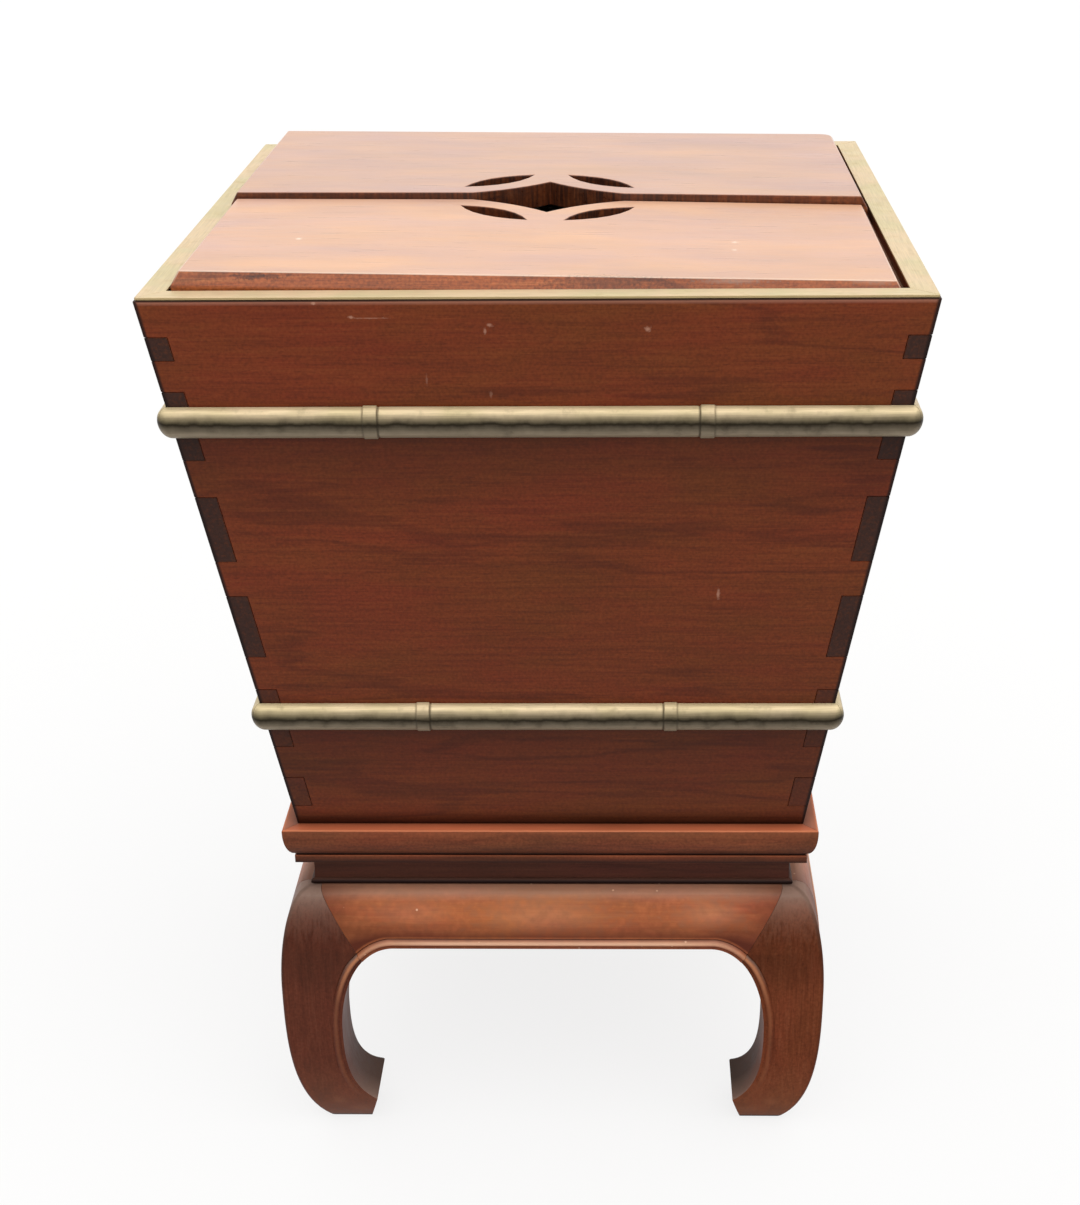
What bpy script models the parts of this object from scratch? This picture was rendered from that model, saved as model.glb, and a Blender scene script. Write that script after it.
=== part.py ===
# Ice chest on a stand, in solid rosewood: a square box that tapers down, dovetailed at its corners,
# with a brass rim, bamboo-shaped brass bands, a zinc liner with a drain, and two loose lid boards
# pierced with a coin. It stands on a low bow-legged stand with hoof feet.
# Metres, +Z up. The origin is on the floor under the middle of the stand, and the front faces -Y.

import math

import bmesh
import bpy
from mathutils import Matrix, Vector

# Fits
JOINT_GAP = 0.0003
LID_CLEARANCE = 0.0025
SPOUT_CLEARANCE = 0.004
STOPPER_CLEARANCE = 0.0004
CUT_MARGIN = 0.02
SOCKET_OVERCUT = 0.005

# Stand top: moulded frame with a loose panel and two braces
STAND_WIDTH = 0.414
STAND_HEIGHT = 0.284
RAIL_WIDTH = 0.050
RAIL_HEIGHT = 0.0325
OVOLO_HEIGHT = 0.0245
OVOLO_DEPTH = 0.009
OVOLO_EDGE = 0.0012
QUIRK_HEIGHT = 0.0012
FILLET_SETBACK = 0.0075
PANEL_THICKNESS = 0.010
PANEL_TONGUE = 0.007
PANEL_DROP = 0.006
BRACE_WIDTH = 0.030
BRACE_SPACING = 0.140

# Waist boards, set back under the frame, with a small bead along the bottom
WAIST_SETBACK = 0.020
WAIST_HEIGHT = 0.0257
WAIST_THICKNESS = 0.010
WAIST_BEAD_HEIGHT = 0.005
WAIST_BEAD_DEPTH = 0.003

# Bulging aprons and bowed legs with hoof feet
APRON_HEIGHT = 0.046
APRON_THICKNESS = 0.024
SHOULDER_LEDGE = 0.0035
LEG_BULGE = 0.0221
BULGE_DROP = 0.083
LEG_WIDTH = 0.0466
LEG_WAIST_DROP = 0.120
SOLE_INSET = 0.030
SOLE_WIDTH = 0.032
TOE_LENGTH = 0.0075
TOE_HEIGHT = 0.0275
ARCH_RUN = 0.0906
MITRE_TOP_INSET = 0.0115
MITRE_FOOT_INSET = 0.0656
MITRE_FOOT_DROP = 0.0105
POST_WIDTH = 0.038
MITRE_FOOT_WAY = (0.68, -0.73)
SOLE_WAY = (-0.6, -0.8)
TOE_WAY = (0.75, 0.66)

# Chest: four leaning boards joined by dovetails, and a floor in a groove
CHEST_TOP_WIDTH = 0.533
CHEST_BOTTOM_WIDTH = 0.392
BOARD_HEIGHT = 0.4342
BOARD_THICKNESS = 0.0155
TAIL_HEIGHT = 0.052
TAIL_PITCH = 0.081
TAIL_FLARE = 0.0025
FIRST_TAIL_DROP = 0.066
TOP_TAIL_DROP = 0.026
TOP_TAIL_HEIGHT = 0.017
BOTTOM_TAIL_HEIGHT = 0.027
BOTTOM_TAIL_ROOM = 0.035
FLOOR_THICKNESS = 0.012
FLOOR_RAISE = 0.008
FLOOR_GROOVE = 0.006
LINER_THICKNESS = 0.0012

# Brass rim strips, set in from the boards' faces, and bamboo-shaped half-round bands
RIM_SETBACK = 0.0015
RIM_WIDTH = 0.0175
RIM_THICKNESS = 0.002
BAND_RADIUS = 0.0115
UPPER_BAND_DROP = 0.0905
LOWER_BAND_DROP = 0.3345
UPPER_NODE_SPACING = 0.226
LOWER_NODE_SPACING = 0.182
NODE_WIDTH = 0.009
NODE_RISE = 0.0009
# One node of the bamboo: places in half widths along the rod, and rises above it in node rises
NODE_PROFILE = ((2, 0), (1, 1), (0.2, 0.6), (0, -0.8), (-0.2, 0.6), (-1, 1), (-2, 0))

# Lid boards, the ledges that carry them, and the battens under them
LEDGE_DROP = 0.0108
LEDGE_WIDTH = 0.016
LEDGE_HEIGHT = 0.014
LID_THICKNESS = 0.020
LID_BEVEL_WIDTH = 0.0053
LID_BEVEL_HEIGHT = 0.0095
LID_JOINT_OFFSET = 0.017
LID_JOINT_GAP = 0.002
BATTEN_WIDTH = 0.021
BATTEN_END_GAP = 0.030
BATTEN_WALL_GAP = 0.005
FRONT_BATTEN_THICKNESS = 0.012
REAR_BATTEN_THICKNESS = 0.0067

# Coin piercing: half on each lid, measured from the lid's joint edge
COIN_AXIS_INSET = 0.005
COIN_HOLE_REACH = 0.036
COIN_HOLE_HALF_WIDTH = 0.058
COIN_HOLE_CONCAVITY = 0.0045
PETAL_NEAR_TIP = (0.0655, 0.0159)
PETAL_FAR_TIP = (0.0138, 0.0625)
PETAL_OUTER_RISE = 0.0105
PETAL_INNER_RISE = 0.0115

# Drain: flanged spout through the floor, with a stopper pulled up by its knob
SPOUT_RADIUS = 0.011
SPOUT_BORE = 0.0075
SPOUT_FLANGE_RADIUS = 0.020
SPOUT_FLANGE_THICKNESS = 0.003
SPOUT_REACH = 0.030
STOPPER_PLUG_LENGTH = 0.022
STOPPER_PLUG_TAPER = 0.001
STOPPER_HEAD_RADIUS = 0.012
STOPPER_HEAD_THICKNESS = 0.004
STOPPER_NECK_RADIUS = 0.005
STOPPER_NECK_HEIGHT = 0.008
STOPPER_KNOB_RADIUS = 0.009
STOPPER_KNOB_RAISE = 0.0063

# Facets on each curved stretch, and how far a bend's ends pull it, as a share of its length
CURVE_STEPS = 8
ARC_STEPS = 6
EDGE_STEPS = 2
ROUND_STEPS = 24
LONG_PULL = 0.36
SHORT_PULL = 0.30

# Heights of the stand, down from its top
rail_bottom = STAND_HEIGHT - RAIL_HEIGHT
waist_top = rail_bottom - JOINT_GAP
waist_bottom = waist_top - WAIST_HEIGHT
apron_top = waist_bottom - JOINT_GAP
apron_edge = apron_top - APRON_HEIGHT
bulge_height = apron_top - BULGE_DROP
leg_waist_height = apron_top - LEG_WAIST_DROP

# Distances of the stand's faces from its middle
frame_half = STAND_WIDTH / 2
fillet_half = frame_half - FILLET_SETBACK
waist_half = frame_half - WAIST_SETBACK
bead_half = waist_half + WAIST_BEAD_DEPTH
shoulder_half = bead_half + SHOULDER_LEDGE
bulge_half = shoulder_half + LEG_BULGE
leg_inner_half = bulge_half - LEG_WIDTH
sole_outer_half = bulge_half - SOLE_INSET
sole_inner_half = sole_outer_half - SOLE_WIDTH
toe_half = sole_inner_half - TOE_LENGTH
arch_half = bulge_half - ARCH_RUN
mitre_top_half = shoulder_half - MITRE_TOP_INSET
mitre_foot = (bulge_half - MITRE_FOOT_INSET, apron_edge - MITRE_FOOT_DROP)
post_inner_half = mitre_top_half - POST_WIDTH

# Heights of the chest, up from the stand
chest_base = STAND_HEIGHT + JOINT_GAP
board_top = chest_base + BOARD_HEIGHT
rim_bottom = board_top + JOINT_GAP
rim_top = rim_bottom + RIM_THICKNESS
floor_bottom = chest_base + FLOOR_RAISE
floor_top = floor_bottom + FLOOR_THICKNESS
liner_bottom = floor_top + JOINT_GAP
ledge_top = rim_top - LEDGE_DROP
ledge_bottom = ledge_top - LEDGE_HEIGHT
liner_top = ledge_bottom - JOINT_GAP

# The chest's pieces are laid out upright at the width of the rim, then leaned in
top_half = CHEST_TOP_WIDTH / 2
wall_half = top_half - BOARD_THICKNESS
rim_outer_half = top_half - RIM_SETBACK
rim_inner_half = rim_outer_half - RIM_WIDTH
wall_slope = (CHEST_TOP_WIDTH - CHEST_BOTTOM_WIDTH) / 2 / (rim_top - chest_base)

part_collection = bpy.data.collections.new("ice_chest_on_stand")
cutter_collection = bpy.data.collections.new("cutters")


def clear_scene():
    for obj in list(bpy.data.objects):
        bpy.data.objects.remove(obj, do_unlink=True)
    bpy.context.scene.collection.children.link(part_collection)
    bpy.context.scene.collection.children.link(cutter_collection)


def material(name, colour, roughness, metallic=0.0):
    made = bpy.data.materials.new(name)
    made.use_nodes = True
    shader = made.node_tree.nodes["Principled BSDF"]
    shader.inputs["Base Color"].default_value = (*colour, 1.0)
    shader.inputs["Roughness"].default_value = roughness
    shader.inputs["Metallic"].default_value = metallic
    return made


def new_object(name, mesh):
    obj = bpy.data.objects.new(name, mesh)
    part_collection.objects.link(obj)
    return obj


def solid(name, mesh):
    """An object whose mesh has its loose caps welded and its faces turned outwards."""
    work = bmesh.new()
    work.from_mesh(mesh)
    bmesh.ops.remove_doubles(work, verts=work.verts, dist=1e-6)
    bmesh.ops.recalc_face_normals(work, faces=work.faces)
    work.to_mesh(mesh)
    work.free()
    return new_object(name, mesh)


# How an outline drawn flat in (u, v) is stood up, for each pair of axes it is drawn in
STANDING = {
    "XY": Matrix.Identity(4),
    "XZ": Matrix.Rotation(math.pi / 2, 4, "X"),
    "YZ": Matrix.Rotation(math.pi / 2, 4, "Z") @ Matrix.Rotation(math.pi / 2, 4, "X"),
}
# Drawn in XZ, an outline's thickness runs towards -Y
THICKNESS_SIGN = {"XY": 1, "XZ": -1, "YZ": 1}


def prism(name, plane, low, high, *outlines):
    """A flat outline, with any further outlines as holes, as a solid from low to high on the third axis."""
    curve = bpy.data.curves.new(name, "CURVE")
    curve.dimensions = "2D"
    curve.fill_mode = "BOTH"
    curve.extrude = (high - low) / 2
    for outline in outlines:
        spline = curve.splines.new("POLY")
        spline.points.add(len(outline) - 1)
        for point, (u, v) in zip(spline.points, outline):
            point.co = (u, v, 0, 1)
        spline.use_cyclic_u = True
    guide = new_object(name, curve)
    middle = Vector((0, 0, THICKNESS_SIGN[plane] * (low + high) / 2))
    guide.matrix_world = STANDING[plane] @ Matrix.Translation(middle)
    graph = bpy.context.evaluated_depsgraph_get()
    mesh = bpy.data.meshes.new_from_object(guide.evaluated_get(graph))
    mesh.transform(guide.matrix_world)
    bpy.data.objects.remove(guide)
    bpy.data.curves.remove(curve)
    return solid(name, mesh)


def box(name, x, y, z):
    work = bmesh.new()
    size = Matrix.Diagonal((x[1] - x[0], y[1] - y[0], z[1] - z[0], 1))
    middle = Vector([(low + high) / 2 for low, high in (x, y, z)])
    bmesh.ops.create_cube(work, size=1, matrix=Matrix.Translation(middle) @ size)
    mesh = bpy.data.meshes.new(name)
    work.to_mesh(mesh)
    work.free()
    return new_object(name, mesh)


def turned(name, profile, closed=False):
    """A profile of (radius, height), drawn down its outer side, turned about the Z axis."""
    mesh = bpy.data.meshes.new(name)
    count = len(profile)
    edges = [(i, i + 1) for i in range(count - 1)]
    if closed:
        edges.append((count - 1, 0))
    mesh.from_pydata([(radius, 0, height) for radius, height in profile], edges, [])
    obj = new_object(name, mesh)
    screw = obj.modifiers.new("turned", "SCREW")
    screw.steps = ROUND_STEPS
    screw.render_steps = ROUND_STEPS
    screw.use_merge_vertices = True
    screw.merge_threshold = 1e-5
    return obj


def apply_modifiers(obj):
    graph = bpy.context.evaluated_depsgraph_get()
    mesh = bpy.data.meshes.new_from_object(obj.evaluated_get(graph))
    obj.modifiers.clear()
    obj.data = mesh
    mesh.name = obj.name
    return obj


def shape_by(obj, operation, *tools):
    """Cuts, joins or crosses an object with others, which are used up."""
    for tool in tools:
        modifier = obj.modifiers.new(tool.name, "BOOLEAN")
        modifier.operation = operation
        modifier.object = tool
    apply_modifiers(obj)
    for tool in tools:
        bpy.data.objects.remove(tool)
    return obj


def bore(obj, radius, low, high):
    """A round hole down the chest's middle, cut by a tool that stays with the model."""
    work = bmesh.new()
    placed = Matrix.Translation((0, 0, (low + high) / 2))
    bmesh.ops.create_cone(
        work,
        cap_ends=True,
        segments=ROUND_STEPS,
        radius1=radius,
        radius2=radius,
        depth=high - low,
        matrix=placed,
    )
    mesh = bpy.data.meshes.new(obj.name + "_bore")
    work.to_mesh(mesh)
    work.free()
    tool = bpy.data.objects.new(mesh.name, mesh)
    tool.hide_render = True
    tool.display_type = "WIRE"
    cutter_collection.objects.link(tool)
    modifier = obj.modifiers.new("bore", "BOOLEAN")
    modifier.operation = "DIFFERENCE"
    modifier.object = tool


def lean(obj):
    """Leans an upright piece of the chest in towards the middle, more the lower it is."""
    for vertex in obj.data.vertices:
        shift = (rim_top - vertex.co.z) * wall_slope
        vertex.co.x -= math.copysign(shift, vertex.co.x)
        vertex.co.y -= math.copysign(shift, vertex.co.y)
    return obj


def turn_copies(obj, names, finish):
    """The piece and its copies, turned about the middle in equal steps to the names given."""
    made = []
    for index, name in enumerate(names):
        copy = new_object(name, obj.data)
        copy.rotation_euler.z = index * 2 * math.pi / len(names)
        made.append(copy)
    bpy.data.objects.remove(obj)
    return dress(made, finish)


def dress(objects, finish):
    for obj in objects:
        obj.data.materials.clear()
        obj.data.materials.append(finish)
    return objects


def four_sides(stem):
    return [f"{stem}_{side}" for side in ("front", "right", "back", "left")]


def move_with(name, height, objects):
    """Hangs the pieces of a moving body on an empty that stands on the body's axis."""
    axis = bpy.data.objects.new(name, None)
    axis.location.z = height
    part_collection.objects.link(axis)
    for obj in objects:
        obj.parent = axis
        obj.matrix_parent_inverse = Matrix.Translation((0, 0, -height))


def bend(start, start_way, end, end_way, pull):
    """Points of a smooth curve that leaves start one way and reaches end another way, without its end."""
    start, end = Vector(start), Vector(end)
    reach = (end - start).length * pull
    first = start + Vector(start_way).normalized() * reach
    second = end - Vector(end_way).normalized() * reach
    points = []
    for step in range(CURVE_STEPS):
        t = step / CURVE_STEPS
        s = 1 - t
        points.append(start * s**3 + first * 3 * s * s * t + second * 3 * s * t * t + end * t**3)
    return [tuple(point) for point in points]


def quarter(centre, across, up, start, end, steps=CURVE_STEPS):
    """Points of an ellipse about centre from one angle to another, both included."""
    points = []
    for step in range(steps + 1):
        angle = start + (end - start) * step / steps
        points.append((centre[0] + across * math.cos(angle), centre[1] + up * math.sin(angle)))
    return points


def bowed(start, end, rise):
    """Points of a shallow arc from start towards end, bowed to its left by rise, without its end."""
    start, end = Vector(start), Vector(end)
    along = end - start
    side = Vector((-along.y, along.x)).normalized()
    points = []
    for step in range(ARC_STEPS):
        t = step / ARC_STEPS
        points.append(tuple(start + along * t + side * rise * 4 * t * (1 - t)))
    return points


def mirrored(points):
    return [(-u, v) for u, v in reversed(points)]


def mitre_wedge(low, high):
    """The front quarter of the plan, as a tool that mitres both ends of a piece at the corners."""
    reach = CHEST_TOP_WIDTH
    inset = JOINT_GAP / math.sqrt(2)
    plan = [(0, -inset), (-reach, -reach - inset), (reach, -reach - inset)]
    return prism("mitre", "XY", low - CUT_MARGIN, high + CUT_MARGIN, plan)


def mitred_strip(name, section, low, high):
    """A strip along the front, drawn as a section in (Y, Z), mitred at both ends."""
    strip = prism(name, "YZ", -CHEST_TOP_WIDTH, CHEST_TOP_WIDTH, section)
    return shape_by(strip, "INTERSECT", mitre_wedge(low, high))


def frame_rail():
    """Frame member with an ovolo, a quirk and a fillet outside, and a groove for the panel inside."""
    inner = -(frame_half - RAIL_WIDTH)
    groove = inner - PANEL_TONGUE - JOINT_GAP
    panel_top = STAND_HEIGHT - PANEL_DROP
    ovolo_bottom = STAND_HEIGHT - OVOLO_HEIGHT
    section = [(inner, rail_bottom), (inner, panel_top - PANEL_THICKNESS - JOINT_GAP)]
    section += [(groove, panel_top - PANEL_THICKNESS - JOINT_GAP), (groove, panel_top + JOINT_GAP)]
    section += [(inner, panel_top + JOINT_GAP), (inner, STAND_HEIGHT)]
    section += quarter(
        (OVOLO_EDGE - frame_half, STAND_HEIGHT - OVOLO_EDGE),
        OVOLO_EDGE,
        OVOLO_EDGE,
        math.pi / 2,
        math.pi,
        EDGE_STEPS,
    )
    round_top = STAND_HEIGHT - OVOLO_EDGE * 2
    section += quarter(
        (OVOLO_DEPTH - frame_half, round_top),
        OVOLO_DEPTH,
        round_top - ovolo_bottom,
        math.pi,
        math.pi * 1.5,
        ARC_STEPS,
    )
    quirk_bottom = ovolo_bottom - QUIRK_HEIGHT
    section += [(OVOLO_DEPTH - frame_half, quirk_bottom)]
    section += [(-fillet_half, quirk_bottom), (-fillet_half, rail_bottom)]
    return mitred_strip("frame_rail", section, rail_bottom, STAND_HEIGHT)


def waist_board():
    outer, bead = -waist_half, -bead_half
    inner = outer + WAIST_THICKNESS
    bead_radius = WAIST_BEAD_HEIGHT / 2
    section = [(inner, waist_bottom), (inner, waist_top), (outer, waist_top)]
    section += quarter(
        (bead + WAIST_BEAD_DEPTH, waist_bottom + bead_radius),
        WAIST_BEAD_DEPTH,
        bead_radius,
        math.pi / 2,
        math.pi * 1.5,
        ARC_STEPS,
    )
    return mitred_strip("waist_board", section, waist_bottom, waist_top)


def bulge_outline():
    """The swelling outer line that aprons and legs share, as (distance out, height) from the top down."""
    return quarter(
        (shoulder_half, bulge_height),
        LEG_BULGE,
        apron_top - bulge_height,
        math.pi / 2,
        0,
    )


def leg_outline():
    """One face of the leg as it is sawn: bowed outside, drawn in at the ankle, with a hoof turned in."""
    outline = bulge_outline()[:-1]
    outline += bend((bulge_half, bulge_height), (0, -1), (sole_outer_half, 0), SOLE_WAY, SHORT_PULL)
    outline += [(sole_outer_half, 0), (sole_inner_half, 0)]
    ankle = (leg_inner_half, leg_waist_height)
    outline += bend((toe_half, TOE_HEIGHT), TOE_WAY, ankle, (0, 1), LONG_PULL)
    way_up = (-MITRE_FOOT_WAY[0], -MITRE_FOOT_WAY[1])
    outline += bend(ankle, (0, 1), mitre_foot, way_up, SHORT_PULL)
    outline += [mitre_foot, (mitre_top_half, apron_top)]
    return outline


def leg():
    """The front right leg: the same outline sawn from two faces, with a post up to the frame."""
    outline = leg_outline()
    front = prism("leg", "XZ", -bulge_half - CUT_MARGIN, CUT_MARGIN, outline)
    turned_outline = [(-out, height) for out, height in outline]
    side = prism("side_cut", "YZ", -CUT_MARGIN, bulge_half + CUT_MARGIN, turned_outline)
    shape_by(front, "INTERSECT", side)
    low_reach = (post_inner_half, mitre_top_half)
    low_post = box("low_post", low_reach, (-low_reach[1], -low_reach[0]), (apron_edge, apron_top))
    waist_inner = waist_half - WAIST_THICKNESS - JOINT_GAP
    high_reach = (post_inner_half, waist_inner)
    post_foot = (apron_edge + apron_top) / 2
    high_post = box(
        "high_post",
        high_reach,
        (-high_reach[1], -high_reach[0]),
        (post_foot, rail_bottom - JOINT_GAP),
    )
    return shape_by(front, "UNION", low_post, high_post)


def apron():
    """The front apron: a bulging section, arched below, mitred to the legs and housed round their posts."""
    mitre_run = mitre_top_half - mitre_foot[0]
    mitre_rise = apron_top - mitre_foot[1]
    mitre_gap = JOINT_GAP * math.hypot(mitre_run, mitre_rise) / mitre_rise
    foot = (mitre_foot[0] - mitre_gap, mitre_foot[1])
    half = [(0, apron_edge)]
    half += bend((arch_half, apron_edge), (1, 0), foot, MITRE_FOOT_WAY, LONG_PULL)
    half += [foot, (mitre_top_half - mitre_gap, apron_top)]
    outline = half + mirrored(half[1:])
    front = prism("apron", "XZ", -bulge_half - CUT_MARGIN, 0, outline)
    face = bulge_outline()
    low = apron_edge - MITRE_FOOT_DROP - CUT_MARGIN
    outside = [(shoulder_half, apron_top + CUT_MARGIN)] + face + [(bulge_half, low)]
    inside = [(out - APRON_THICKNESS, height) for out, height in reversed(outside)]
    section = [(-out, height) for out, height in outside + inside]
    bulge = prism("bulge", "YZ", -bulge_half, bulge_half, section)
    shape_by(front, "INTERSECT", bulge)
    near, far = post_inner_half - JOINT_GAP, mitre_top_half + JOINT_GAP
    height = (apron_edge - JOINT_GAP, apron_top + CUT_MARGIN)
    housings = [
        box("housing", span, (-far, -near), height) for span in ((near, far), (-far, -near))
    ]
    return shape_by(front, "DIFFERENCE", *housings)


def stand_panel():
    half = frame_half - RAIL_WIDTH + PANEL_TONGUE
    top = STAND_HEIGHT - PANEL_DROP
    panel = box("stand_panel", (-half, half), (-half, half), (top - PANEL_THICKNESS, top))
    bore(panel, SPOUT_RADIUS + SPOUT_CLEARANCE, top - PANEL_THICKNESS - CUT_MARGIN, top + CUT_MARGIN)
    return panel


def stand_braces():
    reach = frame_half - RAIL_WIDTH - JOINT_GAP
    top = STAND_HEIGHT - PANEL_DROP - PANEL_THICKNESS - JOINT_GAP
    braces = []
    for name, side in (("stand_brace_left", -1), ("stand_brace_right", 1)):
        middle = side * BRACE_SPACING / 2
        across = (middle - BRACE_WIDTH / 2, middle + BRACE_WIDTH / 2)
        braces.append(box(name, across, (-reach, reach), (rail_bottom, top)))
    return braces


def tail_spans():
    """The heights that each dovetail takes up at its wide end, from the top tail down."""
    spans = [(board_top - TOP_TAIL_DROP - TOP_TAIL_HEIGHT, board_top - TOP_TAIL_DROP)]
    room = BOARD_HEIGHT - FIRST_TAIL_DROP - BOTTOM_TAIL_ROOM
    drop = FIRST_TAIL_DROP
    for _ in range(int(room / TAIL_PITCH)):
        spans.append((board_top - drop - TAIL_HEIGHT, board_top - drop))
        drop += TAIL_PITCH
    spans.append((board_top - drop - BOTTOM_TAIL_HEIGHT, board_top - drop))
    return spans


def side_board():
    """The left board, which has the tails: its outline is sawn, then the board is leaned in."""
    shoulder = wall_half - JOINT_GAP
    end = [(shoulder, chest_base)]
    for low, high in reversed(tail_spans()):
        end += [(shoulder, low + TAIL_FLARE), (top_half, low)]
        end += [(top_half, high), (shoulder, high - TAIL_FLARE)]
    end += [(shoulder, board_top)]
    board = prism("side_board", "YZ", -top_half, -wall_half, end + mirrored(end))
    return lean(shape_by(board, "DIFFERENCE", floor_groove()))


def tail_socket(span, end, side):
    """A tool for one dovetail's socket, drawn a fit larger and carried past both faces of the board."""
    low, high = span
    slope = TAIL_FLARE / (BOARD_THICKNESS + JOINT_GAP)
    inner, outer = wall_half - SOCKET_OVERCUT, top_half + SOCKET_OVERCUT
    outline = []
    for reach in (inner, outer):
        flare = (top_half - reach) * slope
        outline.append((end * reach, low + flare - JOINT_GAP))
    for reach in (outer, inner):
        flare = (top_half - reach) * slope
        outline.append((end * reach, high - flare + JOINT_GAP))
    across = sorted((side * (wall_half - JOINT_GAP), side * (top_half + CUT_MARGIN)))
    return prism("socket", "YZ", *across, outline)


def floor_groove():
    reach = (-wall_half - FLOOR_GROOVE - JOINT_GAP, wall_half + FLOOR_GROOVE + JOINT_GAP)
    return box("groove", reach, reach, (floor_bottom - JOINT_GAP, floor_top + JOINT_GAP))


def front_board():
    """The front board, which has the sockets, so that the tails' end grain shows on its face."""
    board = box(
        "front_board", (-top_half, top_half), (-top_half, -wall_half), (chest_base, board_top)
    )
    sockets = [tail_socket(span, -1, side) for span in tail_spans() for side in (-1, 1)]
    return lean(shape_by(board, "DIFFERENCE", floor_groove(), *sockets))


def chest_floor():
    reach = (-wall_half - FLOOR_GROOVE, wall_half + FLOOR_GROOVE)
    board = lean(box("chest_floor", reach, reach, (floor_bottom, floor_top)))
    bore(board, SPOUT_RADIUS + JOINT_GAP, floor_bottom - CUT_MARGIN, floor_top + CUT_MARGIN)
    return board


def zinc_liner():
    """An open tub folded from sheet, which follows the boards up to the ledges."""
    outer = wall_half - JOINT_GAP
    inner = outer - LINER_THICKNESS
    tub = box("zinc_liner", (-outer, outer), (-outer, outer), (liner_bottom, liner_top))
    hollow_low = liner_bottom + LINER_THICKNESS
    hollow = box("hollow", (-inner, inner), (-inner, inner), (hollow_low, liner_top + CUT_MARGIN))
    lean(shape_by(tub, "DIFFERENCE", hollow))
    bore(tub, SPOUT_RADIUS + JOINT_GAP, liner_bottom - CUT_MARGIN, hollow_low + CUT_MARGIN)
    return tub


def lid_ledges():
    """Four strips round the inside of the boards, which the lids lie on."""
    outer = wall_half - JOINT_GAP
    inner = outer - LEDGE_WIDTH
    height = (ledge_bottom, ledge_top)
    side_reach = (JOINT_GAP - inner, inner - JOINT_GAP)
    return [
        lean(box("lid_ledge_front", (-outer, outer), (-outer, -inner), height)),
        lean(box("lid_ledge_back", (-outer, outer), (inner, outer), height)),
        lean(box("lid_ledge_left", (-outer, -inner), side_reach, height)),
        lean(box("lid_ledge_right", (inner, outer), side_reach, height)),
    ]


def rim_strip():
    outer, inner = -rim_outer_half, -rim_inner_half
    section = [(outer, rim_bottom), (inner, rim_bottom), (inner, rim_top), (outer, rim_top)]
    return mitred_strip("rim_strip", section, rim_bottom, rim_top)


def bamboo_band(drop, node_spacing):
    """A half-round rod along the front, ringed like bamboo, flat against the board and mitred."""
    height = rim_top - drop
    face = top_half - drop * wall_slope
    reach = face + BAND_RADIUS * 2
    profile = [(0, reach), (BAND_RADIUS, reach)]
    for node in (node_spacing / 2, -node_spacing / 2):
        for offset, rise in NODE_PROFILE:
            radius = BAND_RADIUS + rise * NODE_RISE
            profile.append((radius, node + offset * NODE_WIDTH / 2))
    profile += [(BAND_RADIUS, -reach), (0, -reach)]
    rod = apply_modifiers(turned("bamboo_band", profile))
    rod.data.transform(
        Matrix.Translation((0, -face, height)) @ Matrix.Rotation(math.pi / 2, 4, "Y")
    )
    low, high = height - BAND_RADIUS * 2, height + BAND_RADIUS * 2
    board_face = [
        (-top_half + (rim_top - level) * wall_slope - JOINT_GAP, level) for level in (low, high)
    ]
    inside = board_face + [(0, high), (0, low)]
    board = prism("board_face", "YZ", -CHEST_TOP_WIDTH, CHEST_TOP_WIDTH, inside)
    shape_by(rod, "DIFFERENCE", board)
    return shape_by(rod, "INTERSECT", mitre_wedge(low, high))


def coin_openings(edge, way):
    """Half of the coin piercing: the notch in the lid's joint edge, and the two petals as holes."""
    peak = edge + way * (COIN_AXIS_INSET + COIN_HOLE_REACH)
    left, right = (-COIN_HOLE_HALF_WIDTH, edge), (COIN_HOLE_HALF_WIDTH, edge)
    rise = -way * COIN_HOLE_CONCAVITY
    notch = bowed(left, (0, peak), rise) + bowed((0, peak), right, rise) + [right]
    axis = edge + way * COIN_AXIS_INSET
    near = (PETAL_NEAR_TIP[0], axis + way * PETAL_NEAR_TIP[1])
    far = (PETAL_FAR_TIP[0], axis + way * PETAL_FAR_TIP[1])
    petal = bowed(far, near, way * PETAL_OUTER_RISE) + bowed(near, far, way * PETAL_INNER_RISE)
    return notch, [petal, mirrored(petal)]


def lid_board(name, joint_edge, outer_edge, low):
    """A lid board with its outer edges bevelled and half of the coin cut through it."""
    high = low + LID_THICKNESS
    wall_at_seat = wall_half - (rim_top - ledge_top) * wall_slope
    half = min(wall_at_seat, rim_inner_half) - LID_CLEARANCE
    way = math.copysign(1, outer_edge - joint_edge)
    notch, petals = coin_openings(joint_edge, way)
    outer = way * half
    plan = [(-half, outer), (-half, joint_edge)] + notch + [(half, joint_edge), (half, outer)]
    lid = prism(name, "XY", low, high, plan, *petals)
    shoulder = high - LID_BEVEL_HEIGHT
    below, above = low - CUT_MARGIN, high + CUT_MARGIN
    beyond = LID_BEVEL_WIDTH * (above - shoulder) / LID_BEVEL_HEIGHT
    edge = [(half, below), (half, shoulder), (half - beyond, above)]
    across = prism("across", "XZ", -CHEST_TOP_WIDTH, CHEST_TOP_WIDTH, edge + mirrored(edge))
    front = [(way * out, height) for out, height in edge]
    front += [(joint_edge - way * CUT_MARGIN, above), (joint_edge - way * CUT_MARGIN, below)]
    along = prism("along", "YZ", -CHEST_TOP_WIDTH, CHEST_TOP_WIDTH, front)
    return shape_by(lid, "INTERSECT", across, along)


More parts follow.
